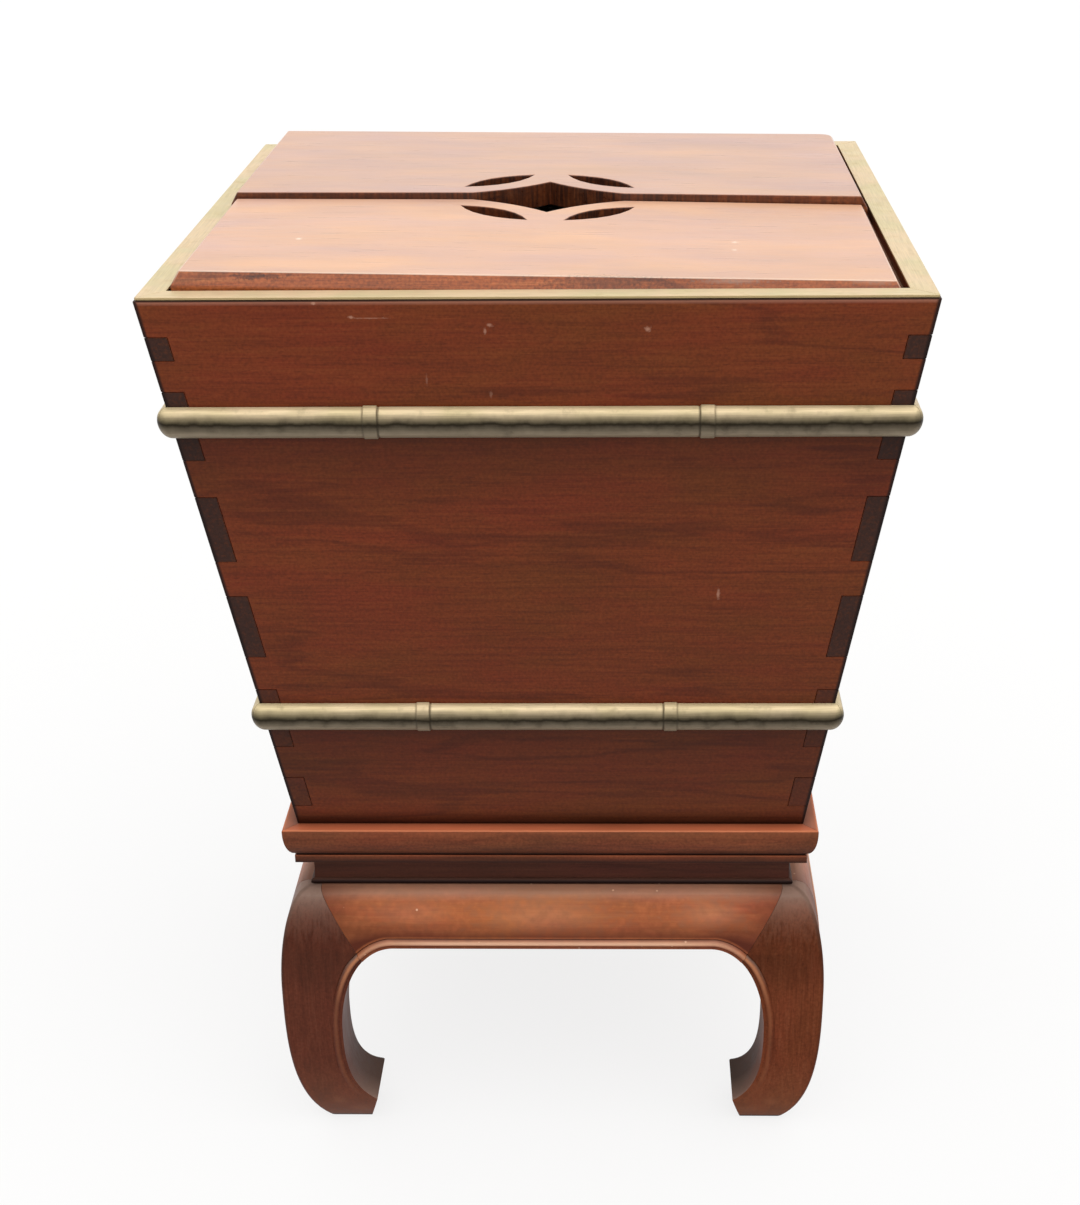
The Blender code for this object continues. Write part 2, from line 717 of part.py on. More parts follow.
front_lid_edge = -LID_JOINT_OFFSET - LID_JOINT_GAP / 2
rear_lid_edge = -LID_JOINT_OFFSET + LID_JOINT_GAP / 2
front_lid_low = ledge_top + JOINT_GAP
rear_lid_low = ledge_top + JOINT_GAP + REAR_BATTEN_THICKNESS + JOINT_GAP
ledge_inner_half = wall_half - JOINT_GAP - LEDGE_WIDTH - (rim_top - ledge_bottom) * wall_slope


def lid_battens(stem, outer, edges, top, thickness):
    """The pair of battens under a lid, front to back, with their outer sides at the distance given."""
    near, far = sorted(edges)
    length = (near + BATTEN_END_GAP, far - BATTEN_END_GAP)
    inner = outer - BATTEN_WIDTH
    height = (top - thickness, top)
    return [
        box(f"{stem}_left", (-outer, -inner), length, height),
        box(f"{stem}_right", (inner, outer), length, height),
    ]


def drain_spout():
    flange_bottom = liner_bottom + LINER_THICKNESS + JOINT_GAP
    flange_top = flange_bottom + SPOUT_FLANGE_THICKNESS
    low = chest_base - SPOUT_REACH
    profile = [(SPOUT_BORE, flange_top), (SPOUT_FLANGE_RADIUS, flange_top)]
    profile += [(SPOUT_FLANGE_RADIUS, flange_bottom), (SPOUT_RADIUS, flange_bottom)]
    profile += [(SPOUT_RADIUS, low), (SPOUT_BORE, low)]
    return turned("drain_spout", profile, closed=True)


stopper_seat = liner_bottom + LINER_THICKNESS + SPOUT_FLANGE_THICKNESS + JOINT_GAP * 2


def drain_stopper():
    plug = SPOUT_BORE - STOPPER_CLEARANCE
    head_top = stopper_seat + STOPPER_HEAD_THICKNESS
    neck_top = head_top + STOPPER_NECK_HEIGHT
    knob_middle = neck_top + STOPPER_KNOB_RAISE
    start = math.asin(STOPPER_NECK_RADIUS / STOPPER_KNOB_RADIUS) - math.pi / 2
    knob = quarter((0, knob_middle), STOPPER_KNOB_RADIUS, STOPPER_KNOB_RADIUS, math.pi / 2, start)
    profile = [(0, knob[0][1])] + knob[1:]
    profile += [(STOPPER_NECK_RADIUS, head_top), (STOPPER_HEAD_RADIUS, head_top)]
    profile += [(STOPPER_HEAD_RADIUS, stopper_seat), (plug, stopper_seat)]
    plug_end = stopper_seat - STOPPER_PLUG_LENGTH
    profile += [(plug - STOPPER_PLUG_TAPER, plug_end), (0, plug_end)]
    return turned("drain_stopper", profile)


clear_scene()
rosewood = material("oiled_rosewood", (0.14, 0.034, 0.018), 0.42)
dark_rosewood = material("dark_rosewood", (0.055, 0.016, 0.010), 0.5)
lid_rosewood = material("rubbed_rosewood", (0.30, 0.11, 0.07), 0.35)
plain_wood = material("plain_hardwood", (0.20, 0.10, 0.06), 0.6)
brass = material("aged_brass", (0.42, 0.30, 0.13), 0.38, 1.0)
zinc = material("zinc_sheet", (0.42, 0.43, 0.43), 0.45, 1.0)

turn_copies(frame_rail(), four_sides("frame_rail"), rosewood)
dress([stand_panel()] + stand_braces(), plain_wood)
turn_copies(waist_board(), four_sides("waist"), dark_rosewood)
turn_copies(apron(), four_sides("apron"), rosewood)
leg_names = ["leg_front_right", "leg_back_right", "leg_back_left", "leg_front_left"]
turn_copies(leg(), leg_names, rosewood)

chest = turn_copies(front_board(), ["chest_board_front", "chest_board_back"], rosewood)
chest += turn_copies(side_board(), ["chest_board_left", "chest_board_right"], rosewood)
chest += dress([chest_floor()] + lid_ledges(), plain_wood)
chest += dress([zinc_liner()], zinc)
chest += turn_copies(rim_strip(), four_sides("rim"), brass)
upper_band = bamboo_band(UPPER_BAND_DROP, UPPER_NODE_SPACING)
chest += turn_copies(upper_band, four_sides("upper_band"), brass)
lower_band = bamboo_band(LOWER_BAND_DROP, LOWER_NODE_SPACING)
chest += turn_copies(lower_band, four_sides("lower_band"), brass)
chest += dress([drain_spout()], brass)
move_with("chest_lift", chest_base, chest)

front_lid = dress([lid_board("front_lid", front_lid_edge, -top_half, front_lid_low)], lid_rosewood)
front_lid += dress(
    lid_battens(
        "front_lid_batten",
        ledge_inner_half - BATTEN_WALL_GAP,
        (front_lid_edge, -ledge_inner_half),
        front_lid_low - JOINT_GAP,
        FRONT_BATTEN_THICKNESS,
    ),
    plain_wood,
)
move_with("front_lid_lift", front_lid_low, front_lid)

rear_lid = dress([lid_board("rear_lid", rear_lid_edge, top_half, rear_lid_low)], lid_rosewood)
rear_lid += dress(
    lid_battens(
        "rear_lid_batten",
        ledge_inner_half + BATTEN_WIDTH / 2,
        (rear_lid_edge, ledge_inner_half),
        rear_lid_low - JOINT_GAP,
        REAR_BATTEN_THICKNESS,
    ),
    plain_wood,
)
move_with("rear_lid_lift", rear_lid_low, rear_lid)

stopper = dress([drain_stopper()], plain_wood)
move_with("drain_stopper_pull", stopper_seat, stopper)
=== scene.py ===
import math

import bmesh
import bpy
import numpy as np
from mathutils import Matrix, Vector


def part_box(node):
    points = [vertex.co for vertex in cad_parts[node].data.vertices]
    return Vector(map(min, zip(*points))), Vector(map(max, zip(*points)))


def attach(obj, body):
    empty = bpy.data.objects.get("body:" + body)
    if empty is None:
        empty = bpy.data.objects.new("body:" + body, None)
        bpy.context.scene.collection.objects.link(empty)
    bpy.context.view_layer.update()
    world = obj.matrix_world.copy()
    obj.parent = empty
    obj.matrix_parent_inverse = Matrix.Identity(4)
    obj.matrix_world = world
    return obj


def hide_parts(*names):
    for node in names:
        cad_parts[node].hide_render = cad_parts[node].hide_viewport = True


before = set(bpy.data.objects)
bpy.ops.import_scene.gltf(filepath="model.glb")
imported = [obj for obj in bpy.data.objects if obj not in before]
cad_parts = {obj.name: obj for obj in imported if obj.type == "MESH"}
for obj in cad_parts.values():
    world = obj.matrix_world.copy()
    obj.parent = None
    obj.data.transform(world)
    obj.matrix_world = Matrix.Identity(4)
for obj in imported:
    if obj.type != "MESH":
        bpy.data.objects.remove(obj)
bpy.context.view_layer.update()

# Legs
# Four bowed legs of solid rosewood, each sawn to the same outline from two faces, drawn in at the ankle and
# ending in a hoof turned in. A bead is scraped along the inner edges, and a post runs up behind the waist.
leg_low, leg_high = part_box("leg_front_right")
apron_low, apron_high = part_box("apron_front")
joint_gap = 0.0003
bulge_half = leg_high.x
shoulder_half = bulge_half - 0.0221
apron_top = apron_high.z
apron_edge = apron_top - 0.0448
bulge_height = apron_top - 0.083
sole_outer = (bulge_half - 0.0280, 0.0)
sole_inner = (bulge_half - 0.0620, 0.0)
toe = (sole_inner[0] - 0.0075, 0.0275)
ankle = (bulge_half - 0.0466, apron_top - 0.120)
mitre_foot = (bulge_half - 0.0656, apron_low.z)
mitre_top = (shoulder_half - 0.0115, apron_top)
sole_way = (0.6, 0.8)
toe_way = (0.75, 0.66)
mitre_foot_way = (-0.68, 0.73)
upright = (0, 1)
post_inner_half = leg_low.x
post_outer_half = 0.1765
leg_arris = 0.0035
inner_arris = 0.002
sole_round = 0.0016


def bend(start, start_way, end, end_way, pull, steps=28):
    """Points of a smooth curve that leaves start one way and reaches end another way, both included."""
    start, end = np.array(start), np.array(end)
    reach = np.linalg.norm(end - start) * pull
    first = start + np.array(start_way) / np.linalg.norm(start_way) * reach
    second = end - np.array(end_way) / np.linalg.norm(end_way) * reach
    t = np.linspace(0, 1, steps + 1)[:, None]
    s = 1 - t
    return start * s**3 + first * 3 * s * s * t + second * 3 * s * t * t + end * t**3


def swell(height):
    """How far out the bulge that legs and aprons share stands at a height above its widest point."""
    rise = min(1.0, max(0.0, (height - bulge_height) / (apron_top - bulge_height)))
    return shoulder_half + (bulge_half - shoulder_half) * math.sqrt(1 - rise * rise)


leg_outside = bend(sole_outer, sole_way, (bulge_half, bulge_height), upright, 0.32)
leg_inside = np.concatenate([
    [sole_inner],
    bend(toe, toe_way, ankle, upright, 0.36)[:-1],
    bend(ankle, upright, mitre_foot, mitre_foot_way, 0.30),
    [mitre_top],
])

# The edge moulding of legs and aprons, out from the edge: a sunk lip, a bead and a quirk. Wear is 1 where
# cloths have rubbed the wood pale, as on the bead's crest, which also carries a painted highlight, and -1
# where wax and dirt have stayed; the lip, the quirk and the bead's flanks are darkened as painted shade.
lip_width = 0.0028
lip_depth = 0.0008
bead_width = 0.0046
bead_rise = 0.0013
quirk_width = 0.0016
quirk_depth = 0.0009
lip_shade = [-0.55, -0.8]
bead_rub_and_highlight = 1.25
bead_flank_shade = 0.25
quirk_shade = [-1.0, -0.25]
step_width = 1e-5
round_share = np.linspace(0, 1, 9)
bead_round = np.sin(math.pi * round_share)
edge_offsets = np.concatenate([
    [0.0, lip_width - step_width],
    lip_width + bead_width * round_share,
    lip_width + bead_width + quirk_width * np.array([0.5, 1.0]),
])
edge_stands = np.concatenate([[-lip_depth] * 2, bead_rise * bead_round, [-quirk_depth, 0.0]])
edge_wear_and_shading = np.concatenate([lip_shade, bead_rub_and_highlight * bead_round - bead_flank_shade, quirk_shade])
edge_width = edge_offsets[-1]

# The moulding fades towards the foot. Feet are scuffed pale above a painted contact shadow along the sole,
# wax has stayed at the shoulder, and the outer arris and the faces that turn in are darkened as painted
# shade.
relief_heights = (0.030, 0.070, 0.130, mitre_foot[1])
relief_shares = (0.0, 0.45, 0.5, 1.0)
rub_shares = (0.0, 0.12, 0.22, 1.0)
leg_quirk_share = 0.5
foot_rub = 0.16
foot_rub_height = 0.085
sole_shadow = 0.9
sole_shadow_height = 0.003
shoulder_grime = 0.34
shoulder_grime_height = 0.177
shoulder_grime_reach = 0.036
arris_shade = 0.3
toe_shade = 0.8
inside_heights = (0.010, toe[1], 0.060, 0.110)
inside_shares = (0.2, 1.0, 0.8, 0.3)
return_shares = (0.1, 0.5)
return_darkening = 3
outer_turn = np.radians(np.linspace(-45, -90, 5))
inner_turn = np.radians(np.linspace(0, 45, 4))


def leg_section(height):
    """The leg's outline at a height, square with an eased outer corner and the moulding by each inner edge,
    and its wear and painted shading, point by point."""
    if height > bulge_height:
        out = swell(height)
    else:
        out = np.interp(height, leg_outside[:, 1], leg_outside[:, 0])
    inn = np.interp(height, leg_inside[:, 1], leg_inside[:, 0])
    sole = max(0.0, 1 - height / sole_round)
    ease = sole_round * (1 - math.sqrt(1 - sole * sole))
    out, inn = out - ease, inn + ease
    level = min(height, mitre_foot[1])
    lean = np.interp(level, leg_inside[:, 1], np.gradient(leg_inside[:, 0], leg_inside[:, 1]))
    stretch = math.sqrt(1 + lean * lean)
    above = height - level
    edge = inn if above == 0 else mitre_foot[0] + mitre_foot_way[0] / mitre_foot_way[1] * above
    offsets = np.maximum(edge_offsets, (inn - edge) / stretch)[::-1]
    relief = np.interp(level, relief_heights, relief_shares)
    stands = np.interp(offsets, edge_offsets, edge_stands, right=0.0) * relief
    # A painted contact shadow darkens the sole; painted shade darkens the outer arris and the faces that
    # turn in.
    on_sole = height <= sole_shadow_height
    worn_and_shaded = -sole_shadow if on_sole else foot_rub * max(0.0, 1 - height / foot_rub_height)
    worn_and_shaded -= shoulder_grime * max(0.0, 1 - ((height - shoulder_grime_height) / shoulder_grime_reach) ** 2)
    wear_and_shading = np.interp(offsets, edge_offsets, edge_wear_and_shading, right=0.0)
    wear_and_shading *= np.interp(level, relief_heights, rub_shares)
    wear_and_shading = np.where(wear_and_shading > 0, wear_and_shading, wear_and_shading * leg_quirk_share)
    wear_and_shading += np.where(offsets < edge_width, worn_and_shaded if on_sole else max(worn_and_shaded, 0.0), worn_and_shaded)
    turned_in_shade = -toe_shade * np.interp(height, inside_heights, inside_shares)
    half = []
    for angle in outer_turn:
        x = out + leg_arris * (math.cos(angle) - 1)
        y = -out + leg_arris * (1 + math.sin(angle))
        half.append((x, y, worn_and_shaded + arris_shade * math.sin(2 * angle)))
    for offset, stand, rub in zip(offsets, stands, wear_and_shading):
        half.append((edge + offset * stretch, -out - stand, rub))
    for share in return_shares:
        half.append((inn, -out * (1 - share) - inn * share, turned_in_shade * min(1.0, return_darkening * share)))
    for angle in inner_turn:
        x = inn + inner_arris * (1 - math.cos(angle))
        y = -inn - inner_arris * (1 - math.sin(angle))
        half.append((x, y, turned_in_shade))
    whole = half + [(-y, -x, share) for x, y, share in reversed(half[1:-1])]
    return [(x, y, height) for x, y, share in whole], [share for x, y, share in whole]


def skin(work, loops, wears):
    """Skins a row of closed outlines, each of as many points, with wear and painted shading at each, and
    closes both ends.
    """
    layer = work.verts.layers.float.get("wear_and_shading") or work.verts.layers.float.new("wear_and_shading")
    rings = []
    for loop, wear_and_shading in zip(loops, wears):
        ring = [work.verts.new(point) for point in loop]
        for vert, worn_and_shaded in zip(ring, wear_and_shading):
            vert[layer] = worn_and_shaded
        rings.append(ring)
    for ring, after in zip(rings, rings[1:]):
        for i in range(len(ring)):
            work.faces.new((ring[i - 1], ring[i], after[i], after[i - 1]))
    work.faces.new(rings[0])
    work.faces.new(reversed(rings[-1]))


leg = bmesh.new()
leg_heights = np.concatenate([
    np.linspace(0, sole_round, 5)[:-1],
    [sole_round, sole_shadow_height],
    np.linspace(sole_shadow_height + 0.0006, toe[1], 9)[:-1],
    np.linspace(toe[1], mitre_foot[1], 49)[:-1],
    np.linspace(mitre_foot[1], mitre_foot[1] + edge_width, 13)[:-1],
    np.linspace(mitre_foot[1] + edge_width, apron_top, 21),
])
skin(leg, *zip(*[leg_section(height) for height in leg_heights]))
post_corners = [
    (post_inner_half, -post_inner_half), (post_outer_half, -post_inner_half),
    (post_outer_half, -post_outer_half), (post_inner_half, -post_outer_half),
]
post = [[(x, y, height) for x, y in post_corners] for height in (apron_edge, leg_high.z)]
skin(leg, post, [[0.0] * len(post_corners)] * len(post))


def linear(code):
    """An sRGB hex colour as the linear values that shaders take."""
    shares = [int(code[i : i + 2], 16) / 255 for i in (1, 3, 5)]
    return tuple(c / 12.92 if c <= 0.04045 else ((c + 0.055) / 1.055) ** 2.4 for c in shares) + (1.0,)


def add(tree, kind, inputs=None, **settings):
    """One shader node: its settings by name, and its inputs by name or number, as values or as links."""
    made = tree.nodes.new("ShaderNode" + kind)
    for name, value in settings.items():
        setattr(made, name, value)
    for key, value in (inputs or {}).items():
        if isinstance(value, bpy.types.Node):
            value = next(socket for socket in value.outputs if socket.enabled)
        if isinstance(value, bpy.types.NodeSocket):
            tree.links.new(value, made.inputs[key])
        else:
            made.inputs[key].default_value = value
    return made


def new_finish(name):
    """A named material, its node tree, its shader, and the place on the object that patterns follow."""
    finish = bpy.data.materials.new(name)
    finish.use_nodes = True
    tree = finish.node_tree
    return finish, tree, tree.nodes["Principled BSDF"], add(tree, "TexCoord").outputs["Object"]


def drawn_out(tree, place, axis, length):
    """A place whose patterns are drawn out along one axis, to so many times their width."""
    scale = [1.0] * 3
    scale["XYZ".index(axis)] = 1 / length
    return add(tree, "VectorMath", {0: place, 1: scale}, operation="MULTIPLY")


def surface(tree, shader, colour, rough, bump):
    """Links a finish's colour, roughness and relief to its shader."""
    tree.links.new(colour.outputs[2], shader.inputs["Base Color"])
    tree.links.new(rough.outputs[0], shader.inputs["Roughness"])
    tree.links.new(bump.outputs[0], shader.inputs["Normal"])


# Rosewood, planed, oiled and rubbed: fine streaks along the grain, a few dark wandering lines of heartwood,
# short open pores, cloudy old polish and pale nicks. Mouldings go pale where rubbed and where a highlight is
# painted, and dark where wax has stayed in corners and where shade is painted.
# Lengths are in widths, and most of a noise lies within its spread. Real pores are about 0.2 mm wide, and
# are drawn coarser here, so that they show.
fibre_length = 26
streak_width = 0.0026
line_length = 7
line_width = 0.048
line_count = 4.0
pore_length = 9
pore_width = 0.0008
cloud_length = 3
cloud_size = 0.042
tool_mark_length = 12.5
tool_mark_width = 0.0022
nick_spacing = 0.055
nick_size = 0.0012
nick_core = 0.4
nick_rarity = 0.7
end_shares = (0.42, 0.95)
top_shading = 0.6
darkening_most = 0.95
grain_depth = 0.0003
spread = {"From Min": 0.3, "From Max": 0.7}


def rosewood(name, grain, dark, middle, light, warm=None, rubbed_and_highlit="#a9795b", grime_and_shade="#200d08", figure=0.35,
             streaks=0.3, specks=0.10, speck_size=0.0021, clouds=0.13, top=None, top_warm=None, top_most=0.0,
             top_from=(0.12, 0.75), top_streaks=0.3, end=None, end_axis=None, end_from=None, tooled=False,
             rough=(0.36, 0.52), specular=0.14, nicks=nick_spacing, marks=()):
    """A wood finish from the axis of its grain, its colours and how strongly each pattern shows. Faces that
    look
    up may take a paler top colour: fading and painted sheen on the lids, painted sheen on the legs. End
    grain may be dark, and marks are (place, size, strength), pale above 0 and dark below."""
    finish, tree, shader, place = new_finish(name)
    wander = add(tree, "TexNoise", {"Vector": drawn_out(tree, place, grain, line_length),
                                    "Scale": 1 / line_width, "Detail": 3.0})
    turns = add(tree, "Math", {0: wander, 1: 2 * math.pi * line_count}, operation="MULTIPLY")
    wave = add(tree, "Math", {0: turns}, operation="SINE")
    line = add(tree, "MapRange", {"Value": wave, "From Min": 0.8, "From Max": 1.0, "To Max": figure})
    streak = add(tree, "TexNoise", {"Vector": drawn_out(tree, place, grain, fibre_length),
                                    "Scale": 1 / streak_width, "Detail": 4.0, "Roughness": 0.65})
    deep = add(tree, "MapRange", {"Value": streak, "From Min": 0.5, "From Max": 0.32, "To Max": streaks})
    pale = add(tree, "MapRange", {"Value": streak, "From Min": 0.5, "From Max": 0.70, "To Max": streaks})
    pore = add(tree, "TexNoise", {"Vector": drawn_out(tree, place, grain, pore_length),
                                  "Scale": 1 / pore_width, "Detail": 1.0})
    pores = add(tree, "MapRange", {"Value": pore, "From Min": 0.60, "From Max": 0.74, "To Max": streaks})
    cloud = add(tree, "TexNoise", {"Vector": drawn_out(tree, place, grain, cloud_length),
                                   "Scale": 1 / cloud_size, "Detail": 5.0, "Roughness": 0.6})
    shade = add(tree, "MapRange", {"Value": cloud, **spread, "To Min": 1 - clouds, "To Max": 1 + clouds})
    patch = add(tree, "MapRange", {"Value": cloud.outputs["Color"], "From Min": 0.38, "From Max": 0.62})
    speck = add(tree, "TexNoise", {"Vector": place, "Scale": 1 / speck_size, "Detail": 2.0})
    mottle = add(tree, "MapRange", {"Value": speck, **spread, "To Min": 1 - specks, "To Max": 1 + specks})
    toned = add(tree, "Mix", {0: patch, 6: linear(middle), 7: linear(warm or middle)}, data_type="RGBA")
    lined = add(tree, "Mix", {0: line, 6: toned, 7: linear(dark)}, data_type="RGBA")
    paled = add(tree, "Mix", {0: pale, 6: lined, 7: linear(light)}, data_type="RGBA")
    streaked = add(tree, "Mix", {0: deep, 6: paled, 7: linear(dark)}, data_type="RGBA")
    pored = add(tree, "Mix", {0: pores, 6: streaked, 7: linear(dark)}, data_type="RGBA")
    clouded = add(tree, "Mix", {0: 1.0, 6: pored, 7: shade}, data_type="RGBA", blend_type="MULTIPLY")
    wood = add(tree, "Mix", {0: 1.0, 6: clouded, 7: mottle}, data_type="RGBA", blend_type="MULTIPLY")
    facing = add(tree, "SeparateXYZ", {0: add(tree, "NewGeometry").outputs["Normal"]})
    if end:
        across = add(tree, "Math", {0: facing.outputs[end_axis]}, operation="ABSOLUTE")
        height = add(tree, "SeparateXYZ", {0: place}).outputs["Z"]
        showing = add(tree, "MapRange", {"Value": height, "From Min": end_from[0], "From Max": end_from[1],
                                         "To Min": end_shares[0], "To Max": end_shares[1]})
        ended = add(tree, "MapRange", {"Value": across, "From Min": 0.7, "From Max": 0.8, "To Max": showing})
        end_tone = add(tree, "Mix", {0: pale, 6: linear(end), 7: linear(middle)}, data_type="RGBA")
        end_wood = add(tree, "Mix", {0: 1.0, 6: end_tone, 7: mottle}, data_type="RGBA",
                       blend_type="MULTIPLY")
        wood = add(tree, "Mix", {0: ended, 6: wood, 7: end_wood}, data_type="RGBA")
    # Faces that look up take the top colour: on the lids fading and a painted sheen, on the legs a painted
    # sheen.
    if top:
        up = add(tree, "MapRange", {"Value": facing.outputs["Z"], "From Min": top_from[0],
                                    "From Max": top_from[1], "To Max": top_most})
        top_share = add(tree, "Math", {0: deep, 1: -top_streaks, 2: up}, operation="MULTIPLY_ADD")
        showing = add(tree, "Math", {0: top_share, 1: up}, operation="MINIMUM", use_clamp=True)
        top_colour = add(tree, "Mix", {0: patch, 6: linear(top), 7: linear(top_warm or top)}, data_type="RGBA")
        top_tone = add(tree, "Mix", {0: top_shading, 6: top_colour, 7: shade}, data_type="RGBA",
                    blend_type="MULTIPLY")
        wood = add(tree, "Mix", {0: showing, 6: wood, 7: top_tone}, data_type="RGBA")
    cell = add(tree, "TexVoronoi", {"Vector": place, "Scale": 1 / nicks})
    chosen = add(tree, "Math", {0: cell.outputs["Color"], 1: nick_rarity}, operation="GREATER_THAN")
    reach = nick_size / nicks
    close = add(tree, "MapRange", {"Value": cell.outputs["Distance"], "From Min": reach,
                                   "From Max": reach * nick_core})
    nick = add(tree, "Math", {0: close, 1: chosen}, operation="MULTIPLY")
    # Wear above 0 pales the wood, from rubbing and painted highlights; below 0 darkens it, from wax and
    # painted shade.
    wear_and_shading = add(tree, "Attribute", attribute_name="wear_and_shading").outputs["Fac"]
    darkening = add(tree, "MapRange", {"Value": wear_and_shading, "From Min": 0.0, "From Max": -1.0, "To Max": darkening_most})
    for spot, size, strength in marks:
        offset = add(tree, "VectorMath", {0: place, 1: spot}, operation="SUBTRACT")
        shares = add(tree, "VectorMath", {0: offset, 1: size}, operation="DIVIDE")
        away = add(tree, "VectorMath", {0: shares}, operation="LENGTH").outputs["Value"]
        ragged = add(tree, "Math", {0: away, 1: speck}, operation="MULTIPLY")
        mark = add(tree, "MapRange", {"Value": ragged, "From Min": 0.5, "From Max": 0.15,
                                      "To Max": abs(strength)})
        if strength > 0:
            nick = add(tree, "Math", {0: nick, 1: mark}, operation="MAXIMUM")
        else:
            darkening = add(tree, "Math", {0: darkening, 1: mark}, operation="MAXIMUM")
    lightening = add(tree, "Math", {0: wear_and_shading, 1: nick}, operation="MAXIMUM")
    if tooled:
        sawn = drawn_out(tree, place, "Z", tool_mark_length)
        tool = add(tree, "TexNoise", {"Vector": sawn, "Scale": 1 / tool_mark_width, "Detail": 1.0})
        marked = add(tree, "MapRange", {"Value": tool, "From Min": 0.35, "From Max": 0.65,
                                        "To Min": 0.75, "To Max": 1.1})
        darkening = add(tree, "Math", {0: darkening, 1: marked}, operation="MULTIPLY", use_clamp=True)
    lightened_wood = add(tree, "Mix", {0: lightening, 6: wood, 7: linear(rubbed_and_highlit)}, data_type="RGBA")
    darkened_wood = add(tree, "Mix", {0: darkening, 6: lightened_wood, 7: linear(grime_and_shade)}, data_type="RGBA")
    wood_rough = add(tree, "MapRange", {"Value": streak, **spread, "To Min": rough[0], "To Max": rough[1]})
    depth = add(tree, "Math", {0: streak, 1: pores}, operation="SUBTRACT")
    bump = add(tree, "Bump", {"Strength": 0.3, "Distance": grain_depth, "Height": depth})
    surface(tree, shader, darkened_wood, wood_rough, bump)
    shader.inputs["Specular IOR Level"].default_value = specular
    return finish


# Two legs across from each other are redder and two are darker: the darker pair is the same wood made darker
# as painted shade. Faces that look up, the shoulders most, take a grey painted sheen, and shoes have scuffed
# the front feet.
scuff_face = -0.188
scuff_height = 0.011
scuff_depth = 0.05
scuff_strength = 0.22
scuff_places = ((0.160, 0.014, 0.020), (0.178, 0.026, 0.012))
foot_scuffs = [
    ((side * across, scuff_face, height), (width, scuff_depth, scuff_height), scuff_strength)
    for side in (-1, 1) for across, height, width in scuff_places
]
leg_looks = dict(
    dark="#371a10", rubbed_and_highlit="#ab7150", figure=0.2, specks=0.14, top="#8a7265", top_most=0.8,
    top_from=(0.15, 0.7), marks=foot_scuffs,
)
leg_woods = [
    rosewood("oiled_rosewood_legs", "Z", middle="#67361f", warm="#6b3420", light="#7f4c34", grime_and_shade="#0f0603",
             specular=0.03, **leg_looks),
    rosewood("shaded_oiled_rosewood_legs", "Z", middle="#552a1b", warm="#5a2a1c", light="#6c3f2e",
             grime_and_shade="#321b10", specular=0.08, **leg_looks),
]
smooth_below = math.radians(32)


def put(name, data):
    """Puts new data into the scene as an object."""
    obj = bpy.data.objects.new(name, data)
    bpy.context.scene.collection.objects.link(obj)
    return obj


def piece(name, work, finish, body, node):
    """Makes a worked mesh a piece of the object: it rides on a body and stands for a CAD node."""
    bmesh.ops.remove_doubles(work, verts=work.verts, dist=1e-6)
    bmesh.ops.recalc_face_normals(work, faces=work.faces)
    mesh = bpy.data.meshes.new(name)
    work.to_mesh(mesh)
    work.free()
    mesh.shade_smooth()
    mesh.set_sharp_from_angle(angle=smooth_below)
    mesh.materials.append(finish)
    obj = put(name, mesh)
    flat = obj.modifiers.new("flat_faces_stay_flat", "WEIGHTED_NORMAL")
    flat.keep_sharp = True
    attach(obj, body)
    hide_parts(node)


def four_round(name, work, finishes, body, node, places):
    """Makes four pieces of one worked mesh, each a quarter turn on, in two finishes by turns."""
    for turns, place in enumerate(places):
        copy = work.copy()
        quarter = Matrix.Rotation(turns * math.pi / 2, 3, "Z")
        bmesh.ops.rotate(copy, cent=(0, 0, 0), matrix=quarter, verts=copy.verts)
        piece(f"{name}_{place}", copy, finishes[turns % 2], body, f"{node}_{place}")
    work.free()


corners = ("front_right", "back_right", "back_left", "front_left")
four_round("bowed_leg", leg, leg_woods, "stand", "leg", corners)

# Aprons
# Bulging rosewood boards between the legs, sawn to a flat arch below and mitred to the legs. The bead of the
# legs runs on along the arch. They were lit and handled more than the legs, so they have gone orange.
apron_thickness = 0.024
arch_half = bulge_half - 0.0906
arch_columns = 25
mitre_tall = mitre_top[1] - mitre_foot[1]
mitre_gap = joint_gap * math.hypot(mitre_top[0] - mitre_foot[0], mitre_tall) / mitre_tall
arch_foot = (mitre_foot[0] - mitre_gap, mitre_foot[1])
arch_foot_way = (-mitre_foot_way[0], -mitre_foot_way[1])
flat_arch = [(x, apron_edge) for x in np.linspace(0, arch_half, arch_columns)[:-1]]
arch_end = bend((arch_half, apron_edge), (1, 0), arch_foot, arch_foot_way, 0.36)
arch = np.concatenate([flat_arch, arch_end])
arch_ways = np.gradient(arch, axis=0)
arch_run = np.concatenate([[0], np.cumsum(np.linalg.norm(np.diff(arch, axis=0), axis=1))])
apron_rows = 22
back_rows = 8
arch_grime = 0.9
arch_grime_height = 0.019
arch_grime_curve = 1.5
mitre_grime = 0.6
mitre_grime_from = 0.7
bead_fade = 0.72
bead_fade_from = 0.6


